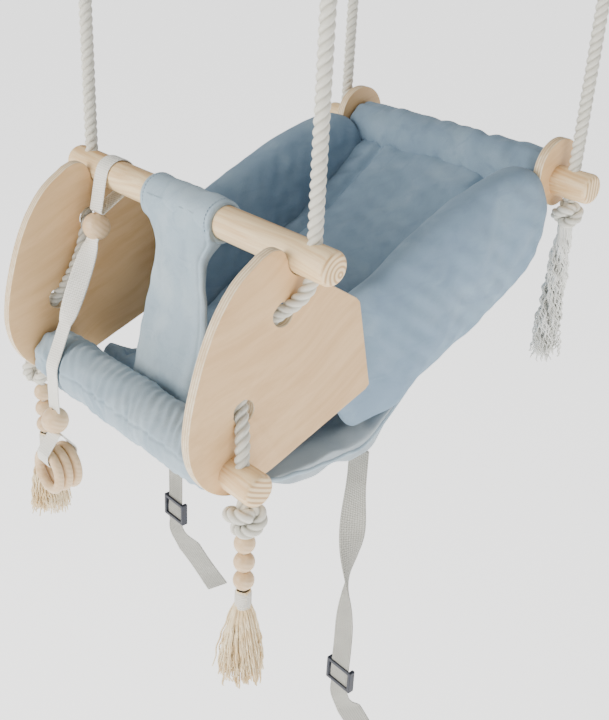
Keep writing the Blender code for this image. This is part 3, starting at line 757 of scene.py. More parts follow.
@dataclass(frozen=True)
class Wood(Finish):
    """Solid wood with its grain along X, rings on its end faces."""

    light: str = "f0dcb6"
    dark: str = "d9b98a"
    end: str = "c9a575"

    def draw(self, g: Graph, shader: bpy.types.Node) -> None:
        """Streaks along the piece, and rings where the surface faces along X."""
        place = g.add("TexCoord").outputs["Object"]
        grain = self.effect(g, Effect.GRAIN, Vector=place, Light=tone(self.light), Dark=tone(self.dark))
        facing = g.add("SeparateXYZ", Vector=g.add("NewGeometry").outputs["True Normal"])
        side = g.stretch(g.sum("ABSOLUTE", facing.outputs[0]), 0.6, 0.85)
        flat = g.add("Mapping", Vector=place, Scale=(0.0, 1.0, 1.0), Location=(0.0, 0.158, 0.262))
        wobble = g.add("TexNoise", Vector=flat.outputs[0], Scale=70.0, Detail=2.0)
        rings = g.add("TexWave", {"wave_type": "RINGS", "rings_direction": "X"}, Vector=flat.outputs[0], Scale=75.0)
        ring = g.stretch(g.sum("MULTIPLY_ADD", wobble.outputs[0], 0.3, rings.outputs["Fac"]), 0.4, 1.1, 0.1, 0.9)
        ends = g.blend(ring, tone(self.light), tone(self.end))
        self.colour(g, shader, g.blend(side, grain.outputs["Color"], ends))
        self.bump(g, shader, grain.outputs["Height"], 0.0002, 0.5)


@dataclass(frozen=True)
class Plywood(Finish):
    """Birch plywood: a figured face, and pale and dark layers along its edge."""

    face: str = "dcb888"
    figure: str = "c9a170"
    pale: str = "ecdfc4"
    glue: str = "a98a62"
    start: float = 0.131
    thick: float = 0.009
    layers: int = 7

    def draw(self, g: Graph, shader: bpy.types.Node) -> None:
        """Layers by how deep the point is in the sheet, where the surface doesn't face along X."""
        place = g.add("TexCoord").outputs["Object"]
        split = g.add("SeparateXYZ", Vector=place)
        lie = g.add("Mapping", Vector=place, Rotation=(math.radians(-28), 0.0, 0.0))
        swap = g.add("SeparateXYZ", Vector=lie.outputs[0])
        along = g.add("CombineXYZ", X=swap.outputs[1], Y=swap.outputs[0], Z=swap.outputs[2])
        slow = g.add("Mapping", Vector=along.outputs[0], Scale=(1.0, 0.4, 0.4))
        grain = self.effect(g, Effect.GRAIN, Vector=slow.outputs[0], Light=tone(self.face), Dark=tone(self.figure))
        deep = g.sum("DIVIDE", g.sum("SUBTRACT", g.sum("ABSOLUTE", split.outputs[0]), self.start), self.thick)
        count = g.sum("MULTIPLY", deep, float(self.layers))
        odd = g.sum("MODULO", g.sum("FLOOR", count), 2.0)
        line = g.stretch(g.sum("PINGPONG", count, 0.5), 0.0, 0.10, 1.0, 0.0)
        streak = self.effect(g, Effect.GRAIN, Vector=along.outputs[0], Light=tone(self.pale), Dark=tone("d2b88f"))
        layer = g.blend(g.sum("MULTIPLY", odd, 0.55), streak.outputs["Color"], tone("b8966a"))
        edge = g.blend(g.sum("MULTIPLY", line, 0.6), layer, tone(self.glue))
        facing = g.add("SeparateXYZ", Vector=g.add("NewGeometry").outputs["True Normal"])
        side = g.stretch(g.sum("ABSOLUTE", facing.outputs[0]), 0.75, 0.9, 1.0, 0.0)
        self.colour(g, shader, g.blend(side, grain.outputs["Color"], edge))
        self.bump(g, shader, grain.outputs["Height"], 0.00015, 0.4)


@dataclass(frozen=True)
class Velvet(Finish):
    """Short velvet with a soft sheen."""

    base: str = "7890a5"
    brushed: str = "879eb0"
    shade: str = "687f95"
    sheen: float = 0.22

    def draw(self, g: Graph, shader: bpy.types.Node) -> None:
        """Brushed patches and nap, and a sheen at grazing angles."""
        place = g.add("TexCoord").outputs["Object"]
        pile = self.effect(
            g, Effect.PILE, Vector=place, Base=tone(self.base), Brushed=tone(self.brushed), Shade=tone(self.shade)
        )
        self.colour(g, shader, pile.outputs["Color"])
        self.bump(g, shader, pile.outputs["Height"], 0.0004, 0.5)
        shader.inputs["Sheen Weight"].default_value = self.sheen
        shader.inputs["Sheen Roughness"].default_value = 0.45
        shader.inputs["Sheen Tint"].default_value = tone("c3d4e0")


@dataclass(frozen=True)
class Yarn(Finish):
    """Twisted cotton: pale yarns on a slant, with painted shade down in the lay and between the yarns."""

    light: str = "e6e5da"
    # The dark colour is painted shade, down in the lay and between the yarns.
    dark: str = "a9a698"
    pitch: float = 0.0011
    slant: float = 0.75

    def draw(self, g: Graph, shader: bpy.types.Node) -> None:
        """Yarns from the marks, with painted shade by the groove depth and between the yarns."""
        marks = g.add("UVMap", {"uv_map": "Marks"}).outputs[0]
        yarns = self.effect(g, Effect.THREADS, Vector=marks, Pitch=self.pitch, Slant=self.slant)
        depth = g.add("Attribute", {"attribute_name": "depth"}).outputs["Fac"]
        # Painted shade: darker down in the grooves of the lay, read from the depth attribute.
        groove = g.stretch(depth, 0.60, 0.92)
        # Painted shade between the yarns, where the yarn relief is low.
        lit = g.sum("MULTIPLY", groove, g.stretch(yarns.outputs["Mask"], 0.0, 0.9, 0.72, 1.0))
        self.colour(g, shader, g.blend(lit, tone(self.dark), tone(self.light)))
        self.bump(g, shader, yarns.outputs["Height"], 0.0004, 0.8)
        shader.inputs["Sheen Weight"].default_value = 0.15


@dataclass(frozen=True)
class Fibre(Finish):
    """Loose unspun cotton, warmer inside the bunch."""

    light: str = "f6e9ca"
    dark: str = "dcc294"
    scale: float = 60.0

    def draw(self, g: Graph, shader: bpy.types.Node) -> None:
        """Patches of two colours and a fine fuzz."""
        place = g.add("TexCoord").outputs["Object"]
        patch = g.add("TexNoise", Vector=place, Scale=self.scale, Detail=2.0)
        fuzz = g.add("TexNoise", Vector=place, Scale=1600.0, Detail=3.0)
        mask = g.stretch(g.sum("MULTIPLY_ADD", fuzz.outputs[0], 0.4, patch.outputs[0]), 0.5, 0.9)
        self.colour(g, shader, g.blend(mask, tone(self.dark), tone(self.light)))
        self.bump(g, shader, fuzz.outputs[0], 0.0003, 0.8)


@dataclass(frozen=True)
class Woven(Finish):
    """Flat woven tape or webbing."""

    light: str = "b6b6ae"
    # The dark colour is painted shade between the threads, and also the tone of the slow darker bands.
    dark: str = "66665f"
    warp: float = 0.0024
    weft: float = 0.0026

    def draw(self, g: Graph, shader: bpy.types.Node) -> None:
        """Threads that cross over in turn, with painted shade where they dip under, and slow bands of shade."""
        marks = g.add("UVMap", {"uv_map": "Marks"}).outputs[0]
        weave = self.effect(g, Effect.WEAVE, Vector=marks, Warp=self.warp, Weft=self.weft)
        place = g.add("TexCoord").outputs["Object"]
        worn = g.add("TexNoise", Vector=place, Scale=35.0, Detail=3.0)
        # Painted shade: darker where the weave's height is low, between the threads.
        body = g.blend(weave.outputs["Mask"], tone(self.dark), tone(self.light))
        self.colour(g, shader, g.blend(g.stretch(worn.outputs[0], 0.45, 0.75, 0.0, 0.3), body, tone(self.dark)))
        self.bump(g, shader, weave.outputs["Height"], 0.0004, 0.8)


@dataclass(frozen=True)
class Moulded(Finish):
    """Moulded plastic with a fine spark-eroded grain, slightly rubbed."""

    base: str = "161b28"
    rubbed: str = "2a3040"

    def draw(self, g: Graph, shader: bpy.types.Node) -> None:
        """A fine grain, and paler rubbed patches."""
        place = g.add("TexCoord").outputs["Object"]
        patch = g.add("TexNoise", Vector=place, Scale=160.0, Detail=3.0)
        grit = g.add("TexNoise", Vector=place, Scale=2600.0, Detail=2.0)
        self.colour(g, shader, g.blend(g.stretch(patch.outputs[0], 0.5, 0.8), tone(self.base), tone(self.rubbed)))
        g.tree.links.new(g.stretch(patch.outputs[0], 0.3, 0.7, 0.32, 0.5), shader.inputs["Roughness"])
        self.bump(g, shader, grit.outputs[0], 0.0001, 0.4)


@dataclass(frozen=True)
class Metal(Finish):
    """Bright steel wire, faintly brushed."""

    base: str = "c9c9cb"

    def draw(self, g: Graph, shader: bpy.types.Node) -> None:
        """Fine scratches in the gloss."""
        place = g.add("TexCoord").outputs["Object"]
        brush = g.add("TexNoise", Vector=place, Scale=700.0, Detail=4.0)
        shader.inputs["Metallic"].default_value = 1.0
        tint = g.blend(g.stretch(brush.outputs[0], 0.4, 0.7), tone(self.base), tone("9b9ba0"))
        self.colour(g, shader, tint)
        g.tree.links.new(g.stretch(brush.outputs[0], 0.3, 0.7, 0.16, 0.34), shader.inputs["Roughness"])


PINE = Wood("oiled_pine", "pine", 0.5, "f0d9ae", "cfa36c", "b98f5c")
BEECH = Wood("turned_beech_bead", "turned_beech", 0.42, "dcc09a", "c8a77b", "ceb088")
BIRCH = Plywood("birch_ply_panel", "birch_plywood", 0.5)
BIRCH_EAR = Plywood("birch_ply_ear", "birch_plywood", 0.5, start=0.126)
VELVET = Velvet("blue_velvet", "velvet", 0.85)
# A lighter copy of the same blue velvet, with painted light for the front-lit flap and sleeve. The base piping also
# uses it.
FLAP_VELVET_PAINTED_LIGHT = Velvet("flap_velvet_painted_light", "velvet", 0.85, "9bb0be", "aec0ca", "8699a9")
# A lighter copy of the same blue velvet, with painted light for the front roll where the key light falls.
ROLL_VELVET_PAINTED_LIGHT = Velvet("roll_velvet_painted_light", "velvet", 0.85, "92a6b4", "a3b5c0", "8396a5")
# A paler, greyer copy of the velvet for the lining under the seat. It is partly the lining's own tone and partly
# painted light against the shade under the seat.
BASE_LINING_VELVET_PAINTED_LIGHT = Velvet("base_lining_velvet_painted_light", "velvet", 0.85, "a3b0b8", "b2bdc3", "929fa8")
THREAD = Fibre("sewing_thread", "velvet", 0.8, "9fb0bd", "7c8fa0", 300.0)
COTTON = Yarn("twisted_cotton", "cotton_rope", 0.92)
STRING = Yarn("cotton_string", "cotton_rope", 0.92, "e9e7de", "b5b1a4", 0.0006, 0.5)
CREAM = Fibre("cream_fibre", "cotton_rope", 0.95)
WHITE = Fibre("white_fibre", "cotton_rope", 0.95, "f4f5f1", "cfd0c9")
GREY_WEBBING = Woven("grey_strap_webbing", "grey_webbing", 0.85)
TAPE = Woven("cotton_twill_tape", "cotton_tape", 0.9, "fdfdf8", "c4c4ba", 0.0019, 0.0021)
BLACK = Moulded("black_moulding", "black_plastic", 0.4)
STEEL = Metal("steel_wire", "steel", 0.25)


# Ropes


FRONT_ROUTE = (
    (0.151, 0.0, 0.080),
    (0.151, 0.0, 0.040),
    (0.151, 0.0, 0.010),
    (0.1510, 0.0, -0.0140),
    (0.1488, -0.0052, -0.0255),
    (0.1435, -0.0112, -0.0345),
    (0.1355, -0.0175, -0.0428),
    (0.1285, -0.0238, -0.0530),
    (0.1250, -0.0300, -0.0660),
    (0.1243, -0.0368, -0.0800),
    (0.1260, -0.0432, -0.0930),
    (0.1300, -0.0485, -0.1040),
    (0.1365, -0.0538, -0.1145),
    (0.1440, -0.0582, -0.1245),
    (0.1492, -0.0618, -0.1360),
    (0.1510, -0.0635, -0.1480),
    (0.1510, -0.0635, -0.1640),
    (0.1510, -0.0635, -0.1785),
)


def mirrored(points: Sequence[Sequence[float]], side: Side) -> Array:
    """The points on one side of the swing."""
    return np.asarray(points, float) * (side.value, 1, 1)


def torus_knot(radius: float, height: float, turn: float = 0.0) -> Array:
    """The line of a tight knot: it winds twice round a ring while it goes three times through it.

    Args:
        radius: How far the line reaches sideways.
        height: How far it reaches up and down.
        turn: The angle at which it starts.

    Returns:
        A closed line round the origin, the first point not repeated.
    """
    t = TURN * np.arange(240) / 240
    reach = radius * (0.58 + 0.42 * np.cos(3 * t + turn))
    return np.stack([reach * np.cos(2 * t), reach * np.sin(2 * t), height * np.sin(3 * t + turn)], axis=1)


def knot(centre: Sequence[float], radius: float, rope: float, lean: float) -> Shell:
    """A lumpy stopper knot of twisted rope, leant over about Y by an angle."""
    line = torus_knot(radius - rope, (radius - rope) * 0.72)
    turned_ = np.array([[math.cos(lean), 0, math.sin(lean)], [0, 1, 0], [-math.sin(lean), 0, math.cos(lean)]])
    line = line @ turned_.T
    return laid_rope(line, rope, 0.0225, line + np.array([0.0, 0.0, 1e-4]), ring=True).moved(centre)


@dataclass
class HangingRope:
    """One of the four ropes, its steel ring, its eye and its knot.

    Attributes:
        side: The side that it hangs on.
        row: front or rear.
        pitch: The length of one turn of the lay.
    """

    side: Side
    row: str
    pitch: float = 0.0225
    ring_z: float = 0.257
    ring_major: float = 0.017
    ring_wire: float = 0.003
    eye_radius: float = 0.013
    eye_stretch: float = 0.012
    eye_z: float = 0.2304
    whipping_z: float = 0.196
    knot_radius: float = 0.0185
    rear_knot_radius: float = 0.0152

    @property
    def name(self) -> str:
        """The start of its pieces' names."""
        return f"{self.side.word}_{self.row}"

    @property
    def y(self) -> float:
        """How far back it hangs."""
        return 0.0 if self.row == "front" else ROPE_SPACING

    def route(self) -> Array:
        """The rope's middle line, from its knot up to the foot of its eye."""
        top = [(ROPE_X, self.y, z) for z in (0.205, 0.180, 0.150, 0.110)]
        if self.row == "front":
            return smooth_line(mirrored([*top, *FRONT_ROUTE][::-1], self.side), 420)
        low = [(ROPE_X, self.y, z) for z in (0.080, 0.040, 0.0, -0.012)]
        return smooth_line(mirrored([*top, *low][::-1], self.side), 240)

    def eye(self) -> Shell:
        """The rope's eye, a long link in the YZ plane that passes through the ring."""
        angle = TURN * np.arange(120) / 120
        z = self.eye_radius * np.sin(angle) + np.tanh(6 * np.sin(angle)) * self.eye_stretch / 2
        path = np.stack([np.zeros(120), self.eye_radius * np.cos(angle), z], axis=1)
        shell = laid_rope(path, ROPE_RADIUS, self.pitch, np.array([1.0, 0.0, 0.0]), ring=True)
        return shell.moved((self.side.value * ROPE_X, self.y, self.eye_z))

    def whipping(self) -> Shell:
        """Thread wound round the foot of the eye: a tube whose radius rises on each turn of the thread."""
        z = np.linspace(-0.008, 0.008, 97)
        radius = ROPE_RADIUS + 0.0003 + 0.0006 * np.abs(np.sin(np.pi * z / 0.0016))
        profile = np.concatenate([[[0.004, z[0]]], np.stack([radius, z], axis=1), [[0.004, z[-1]]]])
        return turned(profile, 2).moved((self.side.value * ROPE_X, self.y, self.whipping_z))

    def knot_shell(self) -> Shell:
        """The knot under the dowel."""
        if self.row == "front":
            centre = (self.side.value * 0.1568, FRONT_DOWEL[0], -0.1949)
            shell = knot(centre, self.knot_radius, 0.0060, self.side.value * 0.5)
            low = shell.points[:, 2] - (centre[2] - 0.0125)
            shell.points[:, 2] = shell.points[:, 2] - np.where(low < 0, 0.72 * low, 0.0)
            return shell
        centre = (self.side.value * ROPE_X, ROPE_SPACING, -0.0244)
        return knot(centre, self.rear_knot_radius, 0.0054, self.side.value * 0.3)

    def build(self) -> None:
        """Makes the rope and the pieces on it."""
        body = f"{self.row}_ropes"
        place = (self.side.value * ROPE_X, self.y, self.ring_z)
        ring = piece(
            hoop(place, self.ring_major, self.ring_wire), f"{self.name}_steel_ring", STEEL, "rings", [f"{self.name}_ring"]
        )
        eye = piece(self.eye(), f"{self.name}_spliced_eye", COTTON, body, [f"{self.name}_rope_eye"])
        wound = piece(self.whipping(), f"{self.name}_whipping", STRING, body)
        stop = piece(self.knot_shell(), f"{self.name}_stopper_knot", COTTON, "seat", [f"{self.name}_knot"])
        path = self.route()
        rope = piece(
            laid_rope(path, ROPE_RADIUS, self.pitch, np.array([0.0, 1.0, 0.0])),
            f"{self.name}_hanging_rope",
            COTTON,
            body,
            [f"{self.name}_rope", f"{self.name}_rope_lower"],
            bend=("seat", (self.side.value * ROPE_X, self.y, 0.105), (self.side.value * ROPE_X, self.y, 0.055)),
        )


@dataclass
class Tassel:
    """Three wooden beads and a wrapped cotton tassel under a front knot."""

    side: Side
    bead_radius: float = 0.0088
    bead_top: float = -0.2117
    length: float = 0.096
    threads: int = 230

    @property
    def place(self) -> tuple[float, float]:
        """Where it hangs, seen from above."""
        return self.side.value * 0.1568, FRONT_DOWEL[0]

    def brush(self) -> Shell:
        """The tassel's threads.

        Thread k starts at share sqrt(k / n) of the neck's radius, on the golden angle, and keeps its
        share as the bunch widens, with a crimp that grows towards its end.
        """
        pick = np.random.default_rng(11 + self.side.value)
        k = np.arange(self.threads)
        share, turn = np.sqrt((k + 0.5) / self.threads), k * 2.39996
        fall = np.linspace(0, 1, 34)
        widths = np.interp(fall, [0, 0.17, 0.31, 0.62, 0.88, 1.0], [0.0056, 0.0060, 0.0108, 0.0172, 0.0205, 0.0212])
        reach = share[:, None] * widths * pick.uniform(0.82, 1.04, (self.threads, 1))
        crimp = 0.0008 * fall * np.sin(TURN * fall * pick.uniform(4, 9, (self.threads, 1)) + turn[:, None])
        drift = 0.0035 * fall**2 * pick.normal(0, 1, (self.threads, 1)).clip(-1, 1)
        x = (reach + crimp) * np.cos(turn[:, None] + 0.4 * fall) + crimp + drift
        y = (reach + crimp) * np.sin(turn[:, None] + 0.4 * fall) - crimp
        drop = self.length * pick.uniform(0.86, 0.985, (self.threads, 1)) * fall
        drop = drop - 0.004 * np.abs(np.sin(6 * fall + turn[:, None])) * fall
        radius = np.full((self.threads, 34), 0.00085) * (1 - 0.35 * fall**4)
        lines = np.stack([x, y, -drop], axis=2)
        return strands(lines, radius)

    def wrap(self) -> Shell:
        """The thread wound round the tassel's neck, a tube that rises on each turn, domed over its top."""
        z = np.linspace(-0.0175, -0.003, 80)
        radius = 0.0064 + 0.0006 * np.abs(np.sin(np.pi * z / 0.0019))
        dome_ = np.array([(0.0, 0.0006), (0.003, 0.0002), (0.0052, -0.001), (0.0062, -0.0022)])
        profile = np.concatenate([dome_, np.stack([radius, z], axis=1)[::-1], [[0.004, -0.0182]]])
        return turned(profile, 2, 48)

    def build(self) -> None:
        """Makes the beads and the tassel."""
        body = f"{self.side.word}_tassel"
        x, y = self.place
        z = self.bead_top - self.bead_radius
        for number in (1, 2, 3):
            node = f"{body}_bead_{number}"
            piece(bead((x, y, z), self.bead_radius), f"{node}_turned", BEECH, body, [node], sharp=50)
            z -= 2 * self.bead_radius + 0.0004
        top = (x, y, z + self.bead_radius)
        piece(self.brush().moved(top), f"{body}_threads", CREAM, body, [f"{self.side.word}_front_tassel"])
        piece(self.wrap().moved(top), f"{body}_neck", STRING, body)
        core = np.stack([np.full(30, x), np.full(30, y), np.linspace(-0.207, top[2] - 0.002, 30)], axis=1)
        piece(tube(core, 0.0021, np.array([1.0, 0.0, 0.0])), f"{body}_cord_core", STRING, body)


@dataclass
class Fringe:
    """The unlaid end of a rear rope: three bunches that still curl as they did in the lay."""

    side: Side
    length: float = 0.142
    threads: int = 96
    top: float = -0.0392

    def shell(self) -> Shell:
        """The threads: each follows its bunch, a helix that opens out, with waves of its own."""
        pick = np.random.default_rng(5 + self.side.value)
        count = self.threads
        fall = np.linspace(0, 1, 60)
        bunch = np.arange(count) % 3 * TURN / 3
        spread = np.interp(fall, [0, 0.2, 0.6, 1.0], [0.0036, 0.0052, 0.0078, 0.0104])
        heart = np.interp(fall, [0, 0.2, 0.6, 1.0], [0.0028, 0.0034, 0.0040, 0.0056])
        own, turn = np.sqrt(pick.uniform(0, 1, (count, 1))), pick.uniform(0, TURN, (count, 1))
        curl = TURN * fall * self.length / 0.120
        wave = 0.0011 * np.sin(TURN * fall * self.length / pick.uniform(0.011, 0.017, (count, 1)) + turn)
        wave = wave * np.clip(fall * 6, 0, 1)
        x = heart * np.cos(bunch[:, None] + curl) + own * spread * np.cos(turn + 0.5 * curl) + wave
        y = heart * np.sin(bunch[:, None] + curl) + own * spread * np.sin(turn + 0.5 * curl) + wave * 0.6
        drop = self.length * pick.uniform(0.90, 0.995, (count, 1)) * fall
        radius = np.full((count, 60), 0.00105) * (1 - 0.4 * fall**6)
        shell = strands(np.stack([x, y, -drop], axis=2), radius)
        return shell.moved((self.side.value * ROPE_X, ROPE_SPACING, self.top + 0.004))

    def build(self) -> None:
        """Makes the fringe."""
        word = self.side.word
        piece(self.shell(), f"{word}_fringe_threads", WHITE, f"{word}_fringe", [f"{word}_rear_fringe"])


# Woodwork


def sheet_part(outline: Array, holes: Sequence[tuple[Sequence[float], float]], x0: float, x1: float) -> Shell:
    """A flat part cut from a sheet, with slightly rounded edges.

    Each rim is swept by a half round of small radius, moved into the wood by e (1 - sin t) at depth
    h - e + e cos t, and the two flat faces are filled between the rims.

    Args:
        outline: Pairs (y, z) round its edge.
        holes: Centres and radii.
        x0: Where one face is.
        x1: Where the other face is.

    Returns:
        The part, standing across X.
    """
    easing, half, middle = 0.0009, abs(x1 - x0) / 2, (x0 + x1) / 2
    line = np.asarray(outline, float)
    ahead = np.roll(line, -1, axis=0)
    line = line[np.linalg.norm(ahead - line, axis=1) > 1e-6]
    ahead = np.roll(line, -1, axis=0)
    if (line[:, 0] * ahead[:, 1] - line[:, 1] * ahead[:, 0]).sum() < 0:
        line = line[::-1]
    angle = -TURN * np.arange(64) / 64
    rims = [line] + [np.stack([c[0] + r * np.cos(angle), c[1] + r * np.sin(angle)], axis=1) for c, r in holes]
    t = np.linspace(0, math.pi / 2, 5)
    inset = np.concatenate([easing * (1 - np.sin(t)), easing * (1 - np.sin(t))[::-1]])
    depth = np.concatenate([half - easing + easing * np.cos(t), -(half - easing + easing * np.cos(t))[::-1]])
    points, faces, flats, links, first = [], [], [], [], 0
    for rim in rims:
        count = len(rim)
        run = unit(np.roll(rim, -1, axis=0) - np.roll(rim, 1, axis=0))
        inward = np.stack([-run[:, 1], run[:, 0]], axis=1)
        place = rim[None] + inset[:, None, None] * inward[None]
        across = np.broadcast_to((middle + depth)[:, None, None], (len(depth), count, 1))
        points.append(np.concatenate([across, place], axis=2).reshape(-1, 3))
        i, j = np.meshgrid(np.arange(len(depth) - 1), np.arange(count), indexing="ij")
        k = (j + 1) % count
        quads = np.stack([i * count + j, (i + 1) * count + j, (i + 1) * count + k, i * count + k], axis=-1)
        faces.append(quads.reshape(-1, 4) + first)
        start = sum(len(flat) for flat in flats)
        links += [(start + a, start + (a + 1) % count) for a in range(count)]
        flats.append(np.stack([first + np.arange(count), first + (len(depth) - 1) * count + np.arange(count)], axis=1))
        first += len(depth) * count
    points = np.concatenate(points)
    flats = np.concatenate(flats)
    flat = points[flats[:, 0], 1:]
    filled = delaunay_2d_cdt([Vector(p) for p in flat.tolist()], links, [], 0, 1e-9)
    corner = np.array(filled[2])
    centre = flat[corner].mean(axis=1)
    (ay, az), (by, bz) = line.T, np.roll(line, -1, axis=0).T
    cy, cz = centre[:, :1], centre[:, 1:]
    crossed = ((az > cz) != (bz > cz)) & (cy < (by - ay) * (cz - az) / np.where(bz == az, 1, bz - az) + ay)
    keep = crossed.sum(axis=1) % 2 == 1
    for c, radius in holes:
        keep &= np.linalg.norm(centre - np.asarray(c), axis=1) > radius
    corner = corner[keep]
    one, two, three = (flat[corner[:, k]] for k in range(3))
    turned_ = (two - one)[:, 0] * (three - one)[:, 1] - (two - one)[:, 1] * (three - one)[:, 0] < 0
    corner[turned_] = corner[turned_][:, ::-1]
    front, back = flats[corner, 0], flats[corner, 1][:, ::-1]
    caps = np.concatenate([front, back])
    faces = np.concatenate([*faces, np.concatenate([caps, caps[:, 2:]], axis=1)])
    return Shell(points, faces, points[faces][..., 1:], np.ones(len(points)))


@dataclass
class Woodwork:
    """The two plywood sides, the two plywood ears and the three dowels."""

    ply: float = 0.009
    panel_x: float = 0.131
    ear_x: float = 0.126
    notch: float = 0.0148
    half: float = 0.174
    end_round: float = 0.005
    horn: tuple = ((-0.0205, 0.0085), (-0.0285, 0.0105), (-0.0390, 0.0072))
    front: tuple = (
        (-0.0390, 0.0072),
        (-0.0600, -0.0080),
        (-0.0765, -0.0290),
        (-0.0880, -0.0520),
        (-0.0975, -0.0800),
        (-0.1035, -0.1050),
        (-0.1055, -0.1290),
        (-0.1005, -0.1520),
        (-0.0860, -0.1730),
        (-0.0620, -0.1850),
        (-0.0350, -0.1800),
        (0.0150, -0.1620),
    )
    rear: tuple = ((0.0800, -0.1370), (0.0840, -0.1330), (0.0650, -0.0530), (0.0610, -0.0485))
    rope_holes: tuple = (((-0.0175, -0.0425), 0.010), ((-0.0535, -0.1136), 0.010))

    def outline(self) -> Array:
        """The side's edge: a seat for the handlebar, a horn, a round front and a straight rear."""
        angle = np.radians(np.linspace(182, 290, 28))
        seat = self.notch * np.stack([np.cos(angle), np.sin(angle)], axis=1)
        front = smooth_line(self.front, 90)
        horn = smooth_line([seat[0], *self.horn], 24)[1:-1]
        return np.concatenate([seat, np.array(self.rear)[::-1], front[::-1], horn[::-1]])

    def dowel(self, centre: Sequence[float]) -> Shell:
        """A round bar with rounded ends."""
        arc = np.linspace(0, math.pi / 2, 8)
        edge = np.stack([self.end_round * np.cos(arc), self.end_round * np.sin(arc)], axis=1)
        edge = edge + (DOWEL_RADIUS - self.end_round, self.half - self.end_round)
        body = np.stack([np.full(9, DOWEL_RADIUS), np.linspace(-0.9, 0.9, 9) * self.half], axis=1)
        low = (edge * (1, -1))[::-1]
        return turned(np.concatenate([low, body, edge]), 0).moved((0, *centre))

    def build(self) -> None:
        """Makes the wooden pieces."""
        piece(self.dowel((0, 0)), "lifting_handlebar", PINE, "handlebar", ["handlebar"], sharp=50)
        piece(self.dowel(FRONT_DOWEL), "lower_front_bar", PINE, "seat", ["front_dowel"], sharp=50)
        piece(self.dowel(REAR_DOWEL), "upper_rear_bar", PINE, "seat", ["rear_dowel"], sharp=50)
        ear = belt([((0.328, 0.013), 0.030), ((0.328, 0.000), 0.021)], 150)
        for side in Side:
            s, word = side.value, side.word
            outer = s * (self.panel_x + self.ply)
            panel = sheet_part(self.outline(), self.rope_holes, s * self.panel_x, outer)
            piece(panel, f"{word}_plywood_side", BIRCH, "seat", [f"{word}_side_panel"], sharp=35)
            disc = sheet_part(ear, [], s * self.ear_x, s * (self.ear_x + self.ply))
            piece(disc, f"{word}_plywood_ear", BIRCH_EAR, "seat", [f"{word}_rear_disc"], sharp=35)


# Padding


@dataclass
class Roll:
    """A foam roll on a dowel, in a cover gathered at its ends."""

    row: str
    centre: tuple[float, float]
    radius: float
    half: float
    seed: int
    seam: float
    gather: float
    gather_height: float

    def shell(self) -> Shell:
        """The cover.

        Its radius is full along the middle and falls to the dowel at each end as the eighth root of
        1 - t^8. Creases run in from the gathered ends and fade in 40 mm, and small dimples follow the
        seam.
        """
        x = np.concatenate([-1 + 0.06 * edge_close(60)[:30], np.linspace(-0.97, 0.97, 150), 1 - 0.06 * edge_close(60)[:30][::-1]])
        angle = TURN * np.arange(132) / 132
        t, a = x[:, None], angle[None, :]
        place = t * self.half
        full = (1 - np.minimum(np.abs(t), 1) ** 9) ** (1 / 7)
        near_end = self.half - np.abs(place)
        crease = np.sin(11 * a + 2 * np.sin(2 * a + self.seed) + 3 * np.sign(t))
        crease = crease * (0.0009 * np.exp(-near_end / 0.016) + 0.0003 * np.exp(-near_end / 0.05))
        folds = 0.0011 * ripple(place, a * self.radius, self.seed, 0.030, 0.095)
        folds = folds + 0.0006 * ripple(place, 0.6 * a * self.radius, self.seed + 1, 0.012, 0.026)
        slant = place + 0.55 * self.radius * np.sin(a + 1.0) + 0.004 * ripple(place, a * 0.02, self.seed + 2, 0.03, 0.08)
        drawn = 0.5 + 0.5 * ripple(place, a * self.radius, self.seed + 3, 0.035, 0.09)
        folds = folds + self.gather_height * np.sin(TURN * slant / self.gather) * np.clip(drawn, 0.1, 1)
        tucks = 0.0013 * np.cos(TURN * place / 0.021 + 2 * np.sin(place * 60))
        off_seam = (a - self.seam + math.pi) % TURN - math.pi
        tucks = tucks * np.exp(-((off_seam / 0.55) ** 2))
        groove = -0.0011 * np.exp(-((off_seam / 0.05) ** 2))
        core = DOWEL_RADIUS + 0.0003
        radius = core + (self.radius - 0.0008 - core + crease + folds + tucks + groove) * full
        points = np.stack([place + 0 * a, radius * np.cos(a), radius * np.sin(a)], axis=2)
        return lattice(points, loop=True, capped=True).moved((0, *self.centre))

    def build(self) -> None:
        """Makes the roll."""
        nodes = [f"{self.row}_roll_cover", f"{self.row}_roll_foam"]
        # The front roll gets the lighter velvet copy as painted light. The rear roll gets the plain velvet.
        finish = ROLL_VELVET_PAINTED_LIGHT if self.row == "front" else VELVET
        piece(self.shell(), f"{self.row}_padded_roll", finish, "seat", nodes)


